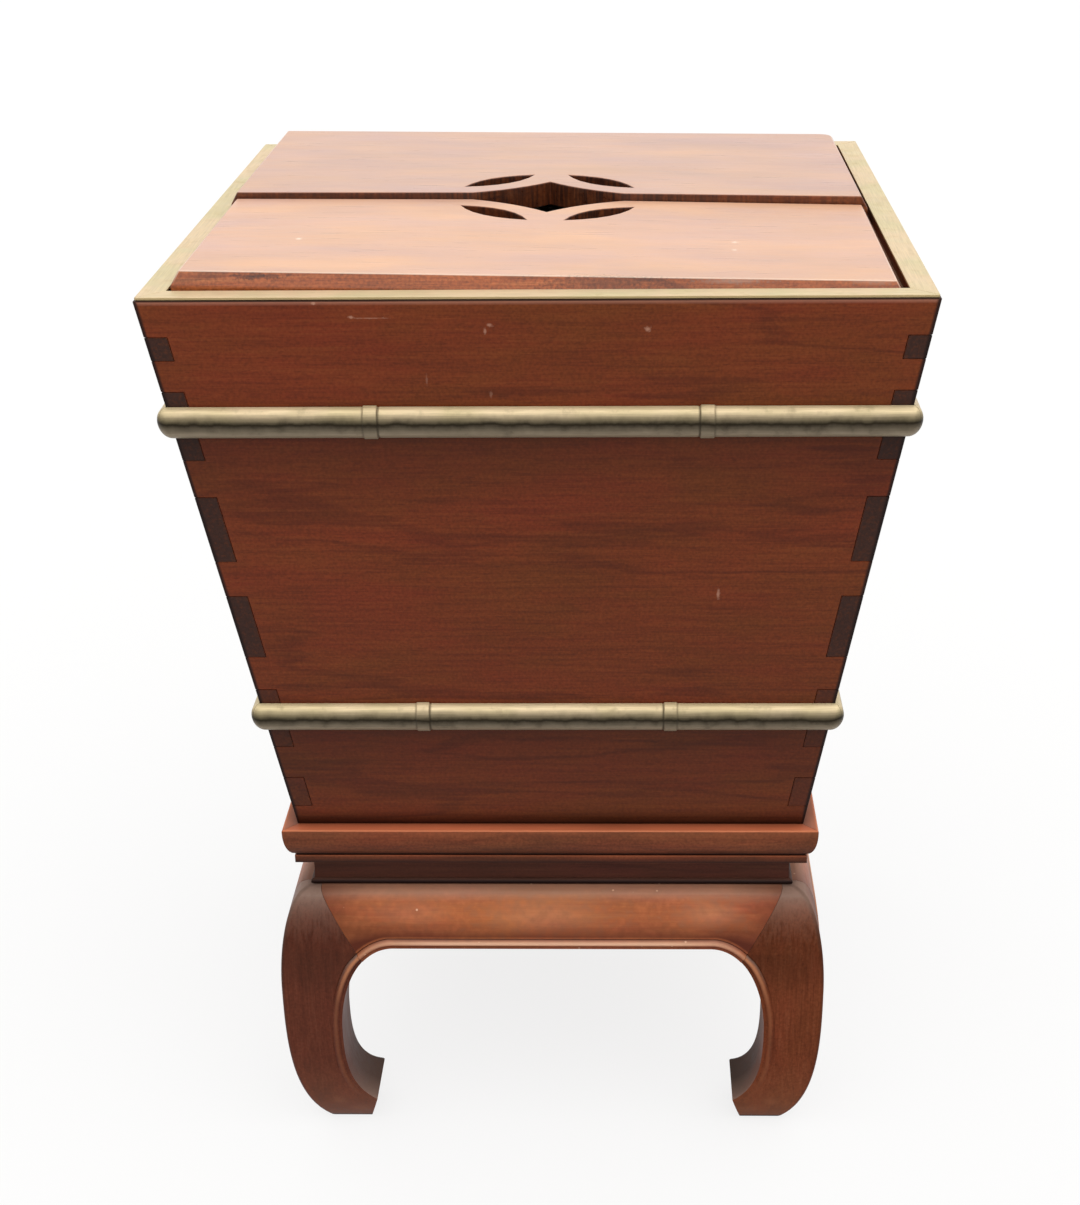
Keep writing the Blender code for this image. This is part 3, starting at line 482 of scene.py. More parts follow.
def apron_column(low, way, share):
    """One section of the apron, down its face to the arch and up its back, and the wear and painted shading
    at each point.
    """
    high = np.array((share * (mitre_top[0] - mitre_gap), apron_top))
    tall = np.linalg.norm(high - low)
    up = (high - low) / tall
    stretch = np.linalg.norm(way) / abs(way[0] * up[1] - way[1] * up[0])
    face = np.linspace(tall, edge_width * stretch, apron_rows + 1)[:-1]
    rises = np.concatenate([face, edge_offsets[::-1] * stretch, np.linspace(0, tall, back_rows)])
    stands = np.concatenate([np.zeros(apron_rows), edge_stands[::-1], np.full(back_rows, -apron_thickness)])
    by_arch = np.clip(1 - (face - edge_width * stretch) / arch_grime_height, 0, 1)
    by_mitre = max(0.0, (share - mitre_grime_from) / (1 - mitre_grime_from))
    darkening = -arch_grime * by_arch**arch_grime_curve - mitre_grime * by_mitre**2
    fade = 1 - bead_fade * max(0.0, (share - bead_fade_from) / (1 - bead_fade_from))
    moulding = np.where(edge_wear_and_shading > 0, edge_wear_and_shading * fade, edge_wear_and_shading)[::-1]
    wear_and_shading = np.concatenate([darkening, moulding, np.zeros(back_rows)])
    places = [low + up * rise for rise in rises]
    return [(x, -swell(z) - stand, z) for (x, z), stand in zip(places, stands)], wear_and_shading


columns = [apron_column(low, way, run / arch_run[-1]) for low, way, run in zip(arch, arch_ways, arch_run)]
left_columns = [([(-x, y, z) for x, y, z in column], wear_and_shading) for column, wear_and_shading in reversed(columns[1:])]
apron = bmesh.new()
skin(apron, *zip(*left_columns, *columns))

# Wiping has left the front apron paler in three places, and small nicks lie close together on all four.
apron_marks = [
    ((-0.005, -bulge_half, apron_top - 0.018), (0.065, 0.05, 0.018), 0.11),
    ((0.127, -bulge_half, apron_top - 0.016), (0.036, 0.05, 0.015), 0.12),
    ((-0.110, -bulge_half, apron_top - 0.016), (0.040, 0.05, 0.012), 0.07),
]
apron_looks = dict(
    dark="#763b20", middle="#a36037", warm="#984f35", light="#b87b4e", rubbed_and_highlit="#d6a88a", grime_and_shade="#4a1a0b",
    figure=0.25, streaks=0.16, specks=0.16, speck_size=0.006, clouds=0.18, top="#a5806c", top_most=0.6,
    top_from=(0.5, 0.85), rough=(0.34, 0.5), nicks=0.0085, marks=apron_marks,
)
apron_woods = [rosewood(f"rubbed_rosewood_apron_{grain}", grain, **apron_looks) for grain in "XY"]
sides = ("front", "right", "back", "left")
four_round("arched_apron", apron, apron_woods, "stand", "apron", sides)

# Waist
# Narrow boards set back between the aprons and the frame, with a small bead along the bottom. The wood is
# dark, with painted shade below the frame, a darker lower half and a black painted shadow under the bead, so
# they are nearly black.
waist_low, waist_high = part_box("waist_front")
waist_thickness = 0.010
waist_bead_depth = 0.003
waist_bead_half = 0.0025
waist_bead_steps = 12
waist_line_drop = 0.0083
waist_line_width = 0.0005


def arc(centre, across, up, start, end, steps):
    """Points of an ellipse about centre from one angle to another, in degrees, both included."""
    angles = np.radians(np.linspace(start, end, steps + 1))
    return [(centre[0] + across * math.cos(a), centre[1] + up * math.sin(a)) for a in angles]


def strip(section, wear_and_shading):
    """A straight strip along the front, mitred at both ends, from its section in (y, z) and its wear and
    painted shading.
    """
    work = bmesh.new()
    ends = [[(side * (-y - joint_gap / 2), y, z) for y, z in section] for side in (-1, 1)]
    skin(work, ends, [wear_and_shading, wear_and_shading])
    return work


waist_face = waist_low.y + waist_bead_depth
waist_back = waist_face + waist_thickness
waist_line = waist_high.z - waist_line_drop
waist_section = [
    (waist_back, waist_low.z), (waist_back, waist_high.z), (waist_face, waist_high.z),
    (waist_face, waist_line + waist_line_width), (waist_face, waist_line),
]
waist_section += arc((waist_face, waist_low.z + waist_bead_half), waist_bead_depth, waist_bead_half, 90, 270,
                     waist_bead_steps)
# Painted shade below the frame, a darker lower half, and a black painted shadow under the bead.
waist_wear_and_shading = [0.0, -0.2, -0.35, -0.05, -0.26, -0.3, -0.3, -0.3, -0.45, -0.8] + [-1.0] * 8
waist = strip(waist_section, waist_wear_and_shading)
waist_looks = dict(
    dark="#2e1811", middle="#512d20", warm="#552a20", light="#66402f", grime_and_shade="#150706", figure=0.2,
    top="#5f463b", top_most=0.5, rough=(0.42, 0.6), specular=0.1,
)
waist_woods = [rosewood(f"blackened_rosewood_{grain}", grain, **waist_looks) for grain in "XY"]
four_round("waist_board", waist, waist_woods, "stand", "waist", sides)

# Frame of the stand's top
# Four mitred rails with an ovolo outside, a quirk and a fillet below it, and a groove inside for the panel.
# Where the chest leaves a ledge uncovered, cloths have rubbed the wood red, most of all in front and behind.
# The chest's shadow on the ledge, shade under the ovolo, in the quirk and at the fillet's foot, and
# highlights on the ledge's arris and the fillet's top are painted; the arris is also rubbed.
rail_low, rail_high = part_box("frame_rail_front")
panel_low, panel_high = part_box("stand_panel")
tongue = 0.007
ovolo_height = 0.0245
ovolo_depth = 0.009
ovolo_arris = 0.0012
arris_steps = 6
ovolo_steps = 20
rail_quirk = 0.0019
fillet_setback = 0.0075
fillet_highlight_width = 0.6 * rail_quirk
chest_foot_half = 0.196
ledge_shadow = -0.48
ledge_rub_and_highlight = [0.15, 0.6, 0.9, 0.9, 0.7, 0.4, 0.2, 0.09]
ovolo_rub = 0.09
ovolo_rub_steps = 4
fillet_highlight_and_shade = [-1.0, 0.3, -0.2, -1.0]
rail_inner = rail_high.y
groove = rail_inner - tongue - joint_gap
groove_floor = panel_low.z - joint_gap
groove_roof = panel_high.z + joint_gap
round_top = rail_high.z - 2 * ovolo_arris
ovolo_bottom = rail_high.z - ovolo_height
ovolo_foot = rail_low.y + ovolo_depth
fillet = rail_low.y + fillet_setback
fillet_top = ovolo_bottom - rail_quirk
rail_section = [
    (rail_inner, rail_low.z), (rail_inner, groove_floor), (groove, groove_floor),
    (groove, groove_roof), (rail_inner, groove_roof), (rail_inner, rail_high.z),
]
rail_wear_and_shading = [0.0] * len(rail_section)
# A painted shadow of the chest darkens the ledge's inner edge.
rail_section += [(-chest_foot_half, rail_high.z)]
rail_wear_and_shading += [ledge_shadow]
# The ledge's arris is rubbed pale and carries a painted highlight.
rail_section += [(rail_low.y + 2 * ovolo_arris, rail_high.z)]
rail_section += arc((rail_low.y + ovolo_arris, rail_high.z - ovolo_arris), ovolo_arris, ovolo_arris, 90, 180,
                    arris_steps)
rail_wear_and_shading += ledge_rub_and_highlight
rail_section += arc((ovolo_foot, round_top), ovolo_depth, round_top - ovolo_bottom, 180, 270, ovolo_steps)
# Painted shade deepens towards the ovolo's underside.
for step in range(ovolo_steps + 1):
    shade_under = math.sin(step / ovolo_steps * math.pi / 2) ** 4
    rail_wear_and_shading += [ovolo_rub * max(0.0, 1 - step / ovolo_rub_steps) - shade_under]
# The fillet carries painted shadow under the quirk and at its foot, with a painted highlight along its top.
rail_section += [
    (ovolo_foot, fillet_top), (fillet, fillet_top),
    (fillet, fillet_top - fillet_highlight_width), (fillet, rail_low.z),
]
rail_wear_and_shading += fillet_highlight_and_shade
rail = strip(rail_section, rail_wear_and_shading)
rail_looks = dict(
    dark="#46200f", middle="#69391f", warm="#6e331d", light="#804d2f", rubbed_and_highlit="#cb7a54", figure=0.3,
    specks=0.2, clouds=0.26, top_most=0.85,
)
rail_tops = {"X": "#c76d4a", "Y": "#a4674f"}
rail_woods = [
    rosewood(f"oiled_rosewood_frame_{grain}", grain, top=top, **rail_looks)
    for grain, top in rail_tops.items()
]
four_round("moulded_rail", rail, rail_woods, "stand", "frame_rail", sides)

# Panel and braces
# A loose panel in the frame's groove, bored for the drain, on two braces from front to back. Plain hardwood,
# planed and left bare, so it is paler and duller than the rosewood.
bare_looks = dict(dark="#5a3c2a", middle="#86614a", light="#9d7a60", rough=(0.55, 0.7), specular=0.2)
bare_woods = {grain: rosewood(f"bare_planed_hardwood_{grain}", grain, **bare_looks) for grain in "XYZ"}


def dress(node, finish):
    """Gives a CAD node that stays in view its finish."""
    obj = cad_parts[node]
    obj.data.materials.clear()
    obj.data.materials.append(finish)


dress("stand_panel", bare_woods["X"])
for side in ("left", "right"):
    dress(f"stand_brace_{side}", bare_woods["Y"])

# Chest boards
# Four wide rosewood boards that lean out, joined at the corners by through dovetails: the side boards carry
# the tails, so their end grain shows dark on the front and back. Dirt hides the tails towards the foot.
chest_low, chest_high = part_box("chest_board_front")
rim_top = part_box("rim_front")[1].z
wall_slope = 0.1615
top_half = -chest_low.y + (rim_top - chest_high.z) * wall_slope
board_arris = 0.0005
foot_grime = -0.34
front_marks = [
    ((-0.1464, -0.2659, 0.7170), (0.0017, 0.05, 0.0015), 0.9),
    ((-0.1224, -0.2642, 0.7068), (0.0022, 0.05, 0.0013), 0.6),
    ((-0.1099, -0.2641, 0.7061), (0.0130, 0.05, 0.0006), 0.4),
    ((-0.0341, -0.2626, 0.6967), (0.0013, 0.05, 0.0026), 0.5),
    ((-0.0313, -0.2633, 0.7010), (0.0026, 0.05, 0.0014), 0.5),
    ((-0.0748, -0.2569, 0.6612), (0.0008, 0.05, 0.0045), 0.2),
    ((-0.0319, -0.2551, 0.6500), (0.0012, 0.05, 0.0030), 0.25),
    ((0.0738, -0.2628, 0.6977), (0.0024, 0.05, 0.0020), 0.6),
    ((0.1250, -0.2299, 0.4925), (0.0014, 0.05, 0.0050), 0.6),
]
board_looks = dict(
    dark="#43180b", middle="#6e3514", warm="#742f16", light="#844724", rubbed_and_highlit="#c09078", figure=0.35,
    specks=0.16, clouds=0.07, end="#34201a", end_from=(rim_top - 0.35, rim_top - 0.27),
)
board_woods = [
    rosewood("oiled_rosewood_boards_X", "X", end_axis="X", marks=front_marks, **board_looks),
    rosewood("oiled_rosewood_boards_Y", "Y", end_axis="Y", **board_looks),
]

# Along the boards' edges: painted shade at the corners, black wax and a painted shadow along the foot, a
# painted shadow under the rim and under the bands, and a pale line just below the top, rubbed and with a
# painted highlight.
black_wax_and_shade = "#140705"
rubbed_top_and_highlight = "#b8806a"
corner_shade = 0.0034
corner_shade_most = 0.92
foot_wax_and_shadow = 0.013
top_shadow = 0.0009
edge_darkening_most = 0.9
top_rub_and_highlight = 0.0034
top_rub_and_highlight_most = 0.55
waxed_and_shaded_edges = [
    (chest_low.z + foot_wax_and_shadow, chest_low.z),
    (chest_high.z - top_shadow, chest_high.z - top_shadow / 2),
]
band_drops = (0.0905, 0.3345)
band_radius = 0.0115
band_shadow = 0.080
band_shadow_most = 0.46
band_shadow_curve = 1.3
for finish in board_woods:
    tree = finish.node_tree
    base = tree.nodes["Principled BSDF"].inputs["Base Color"]
    wood = base.links[0].from_socket
    place = add(tree, "TexCoord").outputs["Object"]
    apart = add(tree, "SeparateXYZ", {0: add(tree, "VectorMath", {0: place}, operation="ABSOLUTE")})
    height = apart.outputs["Z"]
    half = add(tree, "Math", {0: height, 1: wall_slope, 2: top_half - rim_top * wall_slope},
               operation="MULTIPLY_ADD")
    nearer = add(tree, "Math", {0: apart.outputs["X"], 1: apart.outputs["Y"]}, operation="MINIMUM")
    inset = add(tree, "Math", {0: half, 1: nearer}, operation="SUBTRACT")
    # Painted shade along the corners.
    wax_and_shade = add(tree, "MapRange", {"Value": inset, "From Min": corner_shade, "From Max": corner_shade / 2,
                                 "To Max": corner_shade_most})
    # Black wax and painted shadow along the foot, and painted shadow under the rim.
    for clean, full in waxed_and_shaded_edges:
        by_edge = add(tree, "MapRange", {"Value": height, "From Min": clean, "From Max": full,
                                         "To Max": edge_darkening_most})
        wax_and_shade = add(tree, "Math", {0: wax_and_shade, 1: by_edge}, operation="MAXIMUM")
    # A pale line below the top: rubbed, and a painted highlight.
    rubbed_and_highlit = add(tree, "MapRange", {"Value": height, "From Min": chest_high.z - top_rub_and_highlight,
                                    "From Max": chest_high.z - top_shadow, "To Max": top_rub_and_highlight_most})
    # A painted shadow under each band, darkest at the band and fading downwards.
    for drop in band_drops:
        edge = rim_top - drop - band_radius
        shade_under = add(tree, "MapRange", {"Value": height, "From Min": edge - band_shadow, "From Max": edge})
        shadow_falloff = add(tree, "Math", {0: shade_under, 1: band_shadow_curve}, operation="POWER")
        clear = add(tree, "Math", {0: height, 1: edge + band_radius}, operation="LESS_THAN")
        left = add(tree, "Math", {0: shadow_falloff, 1: clear}, operation="MULTIPLY")
        shadow_under_band = add(tree, "MapRange", {"Value": left, "To Max": band_shadow_most})
        wax_and_shade = add(tree, "Math", {0: wax_and_shade, 1: shadow_under_band}, operation="MAXIMUM")
    pale_top = add(tree, "Mix", {0: rubbed_and_highlit, 6: wood, 7: linear(rubbed_top_and_highlight)}, data_type="RGBA")
    waxed_and_shaded = add(tree, "Mix", {0: wax_and_shade, 6: pale_top, 7: linear(black_wax_and_shade)}, data_type="RGBA")
    tree.links.new(waxed_and_shaded.outputs[2], base)

flat_below = math.radians(0.5)
arris_above = math.radians(25)


def node_copy(node):
    """A worked copy of a CAD node's mesh, with its triangles joined back into flat faces."""
    work = bmesh.new()
    work.from_mesh(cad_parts[node].data)
    bmesh.ops.remove_doubles(work, verts=work.verts, dist=1e-5)
    bmesh.ops.dissolve_limit(work, angle_limit=flat_below, verts=work.verts, edges=work.edges)
    return work


def ease_arrises(work, width, steps):
    """Rounds every edge at which the surface turns sharply."""
    edges = [edge for edge in work.edges if edge.calc_face_angle(0) > arris_above]
    bmesh.ops.bevel(work, geom=edges, offset=width, segments=steps, profile=0.5, affect="EDGES",
                    clamp_overlap=True)


for turns, side in enumerate(sides):
    board = node_copy(f"chest_board_{side}")
    ease_arrises(board, board_arris, 2)
    layer = board.verts.layers.float.new("wear_and_shading")
    for vert in board.verts:
        vert[layer] = foot_grime * (chest_high.z - vert.co.z) / (chest_high.z - chest_low.z)
    piece(f"leaning_board_{side}", board, board_woods[turns % 2], "chest",
          f"chest_board_{side}")

# Floor and ledges of the chest
# The floor sits in a groove of the boards, and four strips nailed round the inside carry the lids. Both are
# of the same bare hardwood as the stand's panel.
dress("chest_floor", bare_woods["X"])
for side, grain in (("front", "X"), ("back", "X"), ("left", "Y"), ("right", "Y")):
    dress(f"lid_ledge_{side}", bare_woods[grain])

# Liner
# A tub folded and soldered from rolled zinc sheet. Zinc dulls to a soft grey with pale bloom, in which the
# spangle of its crystals shows faintly, and water leaves darker marks.
zinc_pale = "#d6dada"
zinc_grey = "#c0c4c4"
zinc_stain = "#949996"
spangle_size = 0.014
stain_size = 0.06
stain_most = 0.7
stain_depth = 0.0006
zinc, tree, shader, place = new_finish("dull_zinc_sheet")
spangle = add(tree, "TexVoronoi", {"Vector": place, "Scale": 1 / spangle_size})
spangle_tone = add(tree, "SeparateXYZ", {0: spangle.outputs["Color"]})
stain = add(tree, "TexNoise", {"Vector": place, "Scale": 1 / stain_size, "Detail": 5.0, "Roughness": 0.6})
stain_share = add(tree, "MapRange", {"Value": stain, "From Min": 0.42, "From Max": 0.64,
                                     "To Max": stain_most})
sheet = add(tree, "Mix", {0: spangle_tone, 6: linear(zinc_grey), 7: linear(zinc_pale)}, data_type="RGBA")
stained = add(tree, "Mix", {0: stain_share, 6: sheet, 7: linear(zinc_stain)}, data_type="RGBA")
zinc_rough = add(tree, "MapRange", {"Value": stain, **spread, "To Min": 0.38, "To Max": 0.6})
zinc_bump = add(tree, "Bump", {"Strength": 0.2, "Distance": stain_depth, "Height": stain})
surface(tree, shader, stained, zinc_rough, zinc_bump)
shader.inputs["Metallic"].default_value = 0.25
dress("zinc_liner", zinc)

# Drain
# A flanged brass spout through the floor, stopped by a turned plug that is pulled up by its knob. The plug
# is of bare hardwood like the panel.
# Bright and olive brass, tarnish that also paints the dark reflection line, and the grey painted reflection
# below.
spout_colours = ("#b79a63", "#a08c5c", "#6f5f3c", "#6b5f48")

# Brass, cast or rolled and left to tarnish. Its colour is painted by how far a face looks up: a painted
# highlight on top, a dark line of painted reflection where it faces level, and a grey painted reflection
# below, with cloudy spots and fine scratches along its length. Real scratches are about 0.1 mm wide, and are
# drawn coarser here, so that they show.
tarnish_size = 0.012
tilt_shift = 0.06
tarnish_depth = 0.0004
patina_size = 0.05
scratch_width = 0.0008
scratch_length = 40
reflection_tilts = (-0.07, -0.58)
highlight_curve = 1.25
dirt_most = 0.8


def aged_brass(name, along, bright, olive, tarnish_and_dark_reflection, underside_reflection, lit_tilts=(-0.05, 0.58), spot_most=0.3):
    """Tarnished brass from the axis of its length, its colours and the tilts between which its painted
    highlight rises.
    """
    finish, tree, shader, place = new_finish(name)
    normal = add(tree, "NewGeometry").outputs["Normal"]
    facing = add(tree, "SeparateXYZ", {0: normal}).outputs["Z"]
    cloud = add(tree, "TexNoise", {"Vector": place, "Scale": 1 / tarnish_size,
                                   "Detail": 5.0, "Roughness": 0.6})
    lengthways = drawn_out(tree, place, along, scratch_length)
    scratch = add(tree, "TexNoise", {"Vector": lengthways, "Scale": 1 / scratch_width, "Detail": 2.0})
    shift = add(tree, "MapRange", {"Value": cloud, **spread, "To Min": -tilt_shift, "To Max": tilt_shift})
    tilt = add(tree, "Math", {0: facing, 1: shift}, operation="ADD")
    patina = add(tree, "TexNoise", {"Vector": place, "Scale": 1 / patina_size, "Detail": 3.0})
    dulled = add(tree, "MapRange", {"Value": patina, "From Min": 0.42, "From Max": 0.60})
    clean = add(tree, "Mix", {0: dulled, 6: linear(bright), 7: linear(olive)}, data_type="RGBA")
    # The painted highlight: faces that look up take the clean brass colour.
    highlight_share = add(tree, "MapRange", {"Value": tilt, "From Min": lit_tilts[0], "From Max": lit_tilts[1]})
    lit = add(tree, "Math", {0: highlight_share, 1: highlight_curve}, operation="POWER")
    # The painted reflections: a dark line where faces look level, grey where they look down.
    below = add(tree, "MapRange", {"Value": tilt, "From Min": reflection_tilts[0], "From Max": reflection_tilts[1]})
    shaded = add(tree, "Mix", {0: below, 6: linear(tarnish_and_dark_reflection), 7: linear(underside_reflection)}, data_type="RGBA")
    rubbed_and_highlit = add(tree, "Mix", {0: lit, 6: shaded, 7: clean}, data_type="RGBA")
    spots = add(tree, "MapRange", {"Value": cloud, "From Min": 0.56, "From Max": 0.74, "To Max": spot_most})
    clouded = add(tree, "Mix", {0: spots, 6: rubbed_and_highlit, 7: linear(tarnish_and_dark_reflection)}, data_type="RGBA")
    line = add(tree, "MapRange", {"Value": scratch, "From Min": 0.35, "From Max": 0.65,
                                  "To Min": 0.9, "To Max": 1.08})
    scratched = add(tree, "Mix", {0: 1.0, 6: clouded, 7: line}, data_type="RGBA", blend_type="MULTIPLY")
    wear_and_shading = add(tree, "Attribute", attribute_name="wear_and_shading").outputs["Fac"]
    darkening = add(tree, "MapRange", {"Value": wear_and_shading, "From Min": 0.0, "From Max": -1.0, "To Max": dirt_most})
    grooved = add(tree, "Mix", {0: darkening, 6: scratched, 7: linear(tarnish_and_dark_reflection)}, data_type="RGBA")
    brass_rough = add(tree, "MapRange", {"Value": cloud, **spread, "To Min": 0.36, "To Max": 0.54})
    bump = add(tree, "Bump", {"Strength": 0.12, "Distance": tarnish_depth, "Height": cloud})
    surface(tree, shader, grooved, brass_rough, bump)
    shader.inputs["Metallic"].default_value = 0.35
    shader.inputs["Specular IOR Level"].default_value = 0.2
    return finish


dress("drain_spout", aged_brass("tarnished_brass_spout", "Z", *spout_colours))
dress("drain_stopper", bare_woods["Z"])

# Rim
# Flat brass strips, mitred at the corners and pinned to the boards' top edges, set in a little from the
# faces. Hands and the lids keep them rubbed, so they are paler than the bands.
rim_arris = 0.0003
# The rim's brass is painted by facing like the bands': a painted highlight on top, painted reflections
# below.
rim_brass = [
    aged_brass(f"rubbed_brass_rim_{along}", along, "#dcc49e", "#d2c297", "#a58d5f", "#8a7a58",
               lit_tilts=(-0.3, 0.6), spot_most=0.25)
    for along in "XY"
]
for turns, side in enumerate(sides):
    rim = node_copy(f"rim_{side}")
    ease_arrises(rim, rim_arris, 2)
    piece(f"flat_rim_{side}", rim, rim_brass[turns % 2], "chest", f"rim_{side}")

# Bands
# Half-round brass rods cast like bamboo, two nodes to a side, pinned flat to the boards and mitred at the
# corners, which are rubbed round. A node is a raised ring between two grooves, the inward one deeper.
wall_tilt = math.atan(wall_slope)
band_flatness = 0.72
band_facets = 28
band_points = band_facets + 1
band_steps = 31
band_end = 0.004
corner_round = 0.008
corner_steps = 6
node_spacings = (0.229, 0.184)
node_half = 0.009
node_steps = 61
ring_half = 0.0044
ring_rise = 0.0009
ring_flare = 0.0024
groove_place = 0.0054
groove_half = 0.0011
groove_depths = (0.0003, 0.0007)
groove_dirt = (0.35, 0.75)


def bamboo_node(inward):
    """How far a node stands above the rod, so far inward from its ring, and the dirt there."""
    past = max(0.0, abs(inward) - ring_half)
    ring = ring_rise * max(0.0, 1 - past / ring_flare) ** 2
    cut = max(0.0, 1 - abs(abs(inward) - groove_place) / groove_half)
    side = 1 if inward > 0 else 0
    return ring - groove_depths[side] * cut, -groove_dirt[side] * cut


def band_section(x, radius, face, height, turn=None):
    """The rod's half-round section at x or, with a turn from 0 to 1, on its way round the corner."""
    loop = []
    for angle in np.linspace(0, math.pi, band_points):
        out = band_flatness * radius * math.sin(angle) + joint_gap
        up = radius * math.cos(angle)
        stand = face + out * math.cos(wall_tilt) + up * math.sin(wall_tilt)
        z = height - out * math.sin(wall_tilt) + up * math.cos(wall_tilt)
        if turn is None:
            loop.append((x, -stand, z))
        else:
            rounding = corner_round * math.sin(angle)
            swing = turn * math.pi / 4
            middle = stand - rounding
            round_x = middle + rounding * math.sin(swing) - joint_gap / 2
            loop.append((round_x, -middle - rounding * math.cos(swing), z))
    return loop


def bamboo_band(drop, spacing):
    """The rod along the front at a drop below the rim, with its two nodes spaced about the middle."""
    height = rim_top - drop
    face = top_half - drop * wall_slope
    near_node = spacing / 2 + np.linspace(-node_half, node_half, node_steps)
    along = np.concatenate([np.linspace(0, face - band_end, band_steps), near_node])
    half_run = np.unique(np.round(along, 6))
    nodes = [bamboo_node(spacing / 2 - x) for x in half_run]
    right = [band_section(x, band_radius + stand, face, height) for x, (stand, darkening) in zip(half_run, nodes)]
    for turn in np.linspace(0, 1, corner_steps + 1):
        right.append(band_section(0, band_radius, face, height, turn))
    left = [[(-x, y, z) for x, y, z in loop] for loop in reversed(right[1:])]
    wears = [[darkening] * band_points for stand, darkening in nodes]
    wears += [[0.0] * band_points] * (corner_steps + 1)
    work = bmesh.new()
    skin(work, left + right, wears[:0:-1] + wears)
    return work


# Bright and olive brass, a dark tarnish that also paints the reflection line, and a grey painted reflection
# below.
band_brass = [
    aged_brass(f"tarnished_brass_band_{along}", along, "#d7c29c", "#cab88f", "#221a0a", "#877a66")
    for along in "XY"
]
for row, drop, spacing in zip(("upper", "lower"), band_drops, node_spacings):
    band = bamboo_band(drop, spacing)
    four_round(f"{row}_bamboo_band", band, band_brass, "chest", f"{row}_band", sides)

# Lids
# Two loose rosewood boards that lie on the ledges, pierced together with a coin. Sun and wiping have faded
# their tops, and their pale top colour also holds a painted sheen. Both have warped and lie lower at the
# right, and the rear one has lost a corner. The sawn walls of the piercing, the joint and its ends are
# darkened as painted shade, and the outer arrises carry a pale painted highlight.
lid_lifts = {"front": (0.0025, -0.0066, -0.0046), "rear": (0.0, -0.0055, -0.0055)}
lid_warp_curve = 1.8
lid_arris = 0.0011
lost_corner = 0.009
lost_corner_steps = 5
wall_shade = -0.92
wall_reach = 0.1
joint_end_shade = -0.6
joint_reach = 0.002
joint_end = 0.0075
arris_highlight = 0.5
arris_highlight_from = 0.15
sloped_rise = 0.5
level_rise = 0.995
top_rise = 0.9
lid_marks = [
    ((-0.1725, -0.1490, 0.7300), (0.0028, 0.0036, 0.05), 0.8),
    ((0.1366, -0.1420, 0.7280), (0.0030, 0.0030, 0.05), 0.6),
    ((0.1355, -0.1640, 0.7280), (0.0026, 0.0030, 0.05), 0.5),
    ((-0.1860, -0.2430, 0.7290), (0.0200, 0.0080, 0.0022), -0.75),
    ((0.0450, -0.2430, 0.7240), (0.0500, 0.0080, 0.0060), -0.45),
    ((0.1320, -0.2430, 0.7243), (0.0280, 0.0080, 0.0024), 0.16),
    ((0.2260, -0.2430, 0.7236), (0.0200, 0.0080, 0.0024), 0.14),
]
lid_tops = {"front": ("#cfa592", "#d9a985"), "rear": ("#c39d8e", "#cda284")}
lid_looks = dict(
    dark="#542410", middle="#944c20", warm="#9c5028", light="#b27145", rubbed_and_highlit="#f0dcc8", grime_and_shade="#2b1610",
    figure=0.5, streaks=0.45, specks=0.26, top_most=0.95, top_from=(0.65, 0.9), top_streaks=0.14,
    rough=(0.26, 0.4), specular=0.35, marks=lid_marks, tooled=True,
)
for name in ("front", "rear"):
    low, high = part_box(f"{name}_lid")
    joint = high.y if name == "front" else low.y
    left, right_front, right_back = lid_lifts[name]
    top, top_warm = lid_tops[name]
    lid_wood = rosewood(f"faded_waxed_rosewood_{name}_lid", "X", top=top, top_warm=top_warm, **lid_looks)
    lid = node_copy(f"{name}_lid")
    for vert in lid.verts:
        if vert.co.z > low.z + lid_arris:
            across = ((vert.co.x - low.x) / (high.x - low.x)) ** lid_warp_curve
            back = (vert.co.y - low.y) / (high.y - low.y)
            vert.co.z += left * (1 - across) + (right_front * (1 - back) + right_back * back) * across
    if name == "rear":
        lost_x, lost_y = high.x - lost_corner, high.y - lost_corner
        corner = [edge for edge in lid.edges
                  if all(vert.co.x > lost_x and vert.co.y > lost_y for vert in edge.verts)]
        bmesh.ops.bevel(lid, geom=corner, offset=lost_corner, segments=lost_corner_steps, profile=0.5,
                        affect="EDGES")
    ease_arrises(lid, lid_arris, 3)
    lid.normal_update()
    layer = lid.verts.layers.float.new("wear_and_shading")
    for vert in lid.verts:
        rises = [face.normal.z for face in vert.link_faces]
        from_joint = abs(vert.co.y - joint)
        by_end = vert.co.x < low.x + joint_end or vert.co.x > high.x - joint_end
        # Painted highlight on the outer arrises, and painted shade on the piercing's walls, the joint and
        # its ends.
        if min(rises) > sloped_rise and max(rises) < level_rise and from_joint > arris_highlight_from:
            vert[layer] = arris_highlight
        if max(rises) > top_rise:
            continue
        if from_joint < joint_reach and by_end:
            vert[layer] = joint_end_shade
        elif from_joint < wall_reach and not by_end:
            vert[layer] = wall_shade
    piece(f"pierced_lid_{name}", lid, lid_wood, f"{name}_lid", f"{name}_lid")
    for side in ("left", "right"):
        dress(f"{name}_lid_batten_{side}", bare_woods["Y"])

# Stage
# A pale floor that runs out a little way in front of the chest, under a soft studio sky: a bright backdrop
# behind, a dim room in front, and one very broad lamp from above the camera.
floor_side, floor_back, floor_front = 30.0, 40.0, 2.2
floor_colour = "#e4e3e1"
floor_glow = 0.8
backdrop_white = "#ffffff"


def shows_backdrop(tree):
    """1 for rays straight from the camera, off gloss or through glass, which see a plain white backdrop."""
    rays = add(tree, "LightPath").outputs
    seen = add(tree, "Math", {0: rays["Is Camera Ray"], 1: rays["Is Glossy Ray"]}, operation="MAXIMUM")
    return add(tree, "Math", {0: seen, 1: rays["Is Transmission Ray"]}, operation="MAXIMUM")


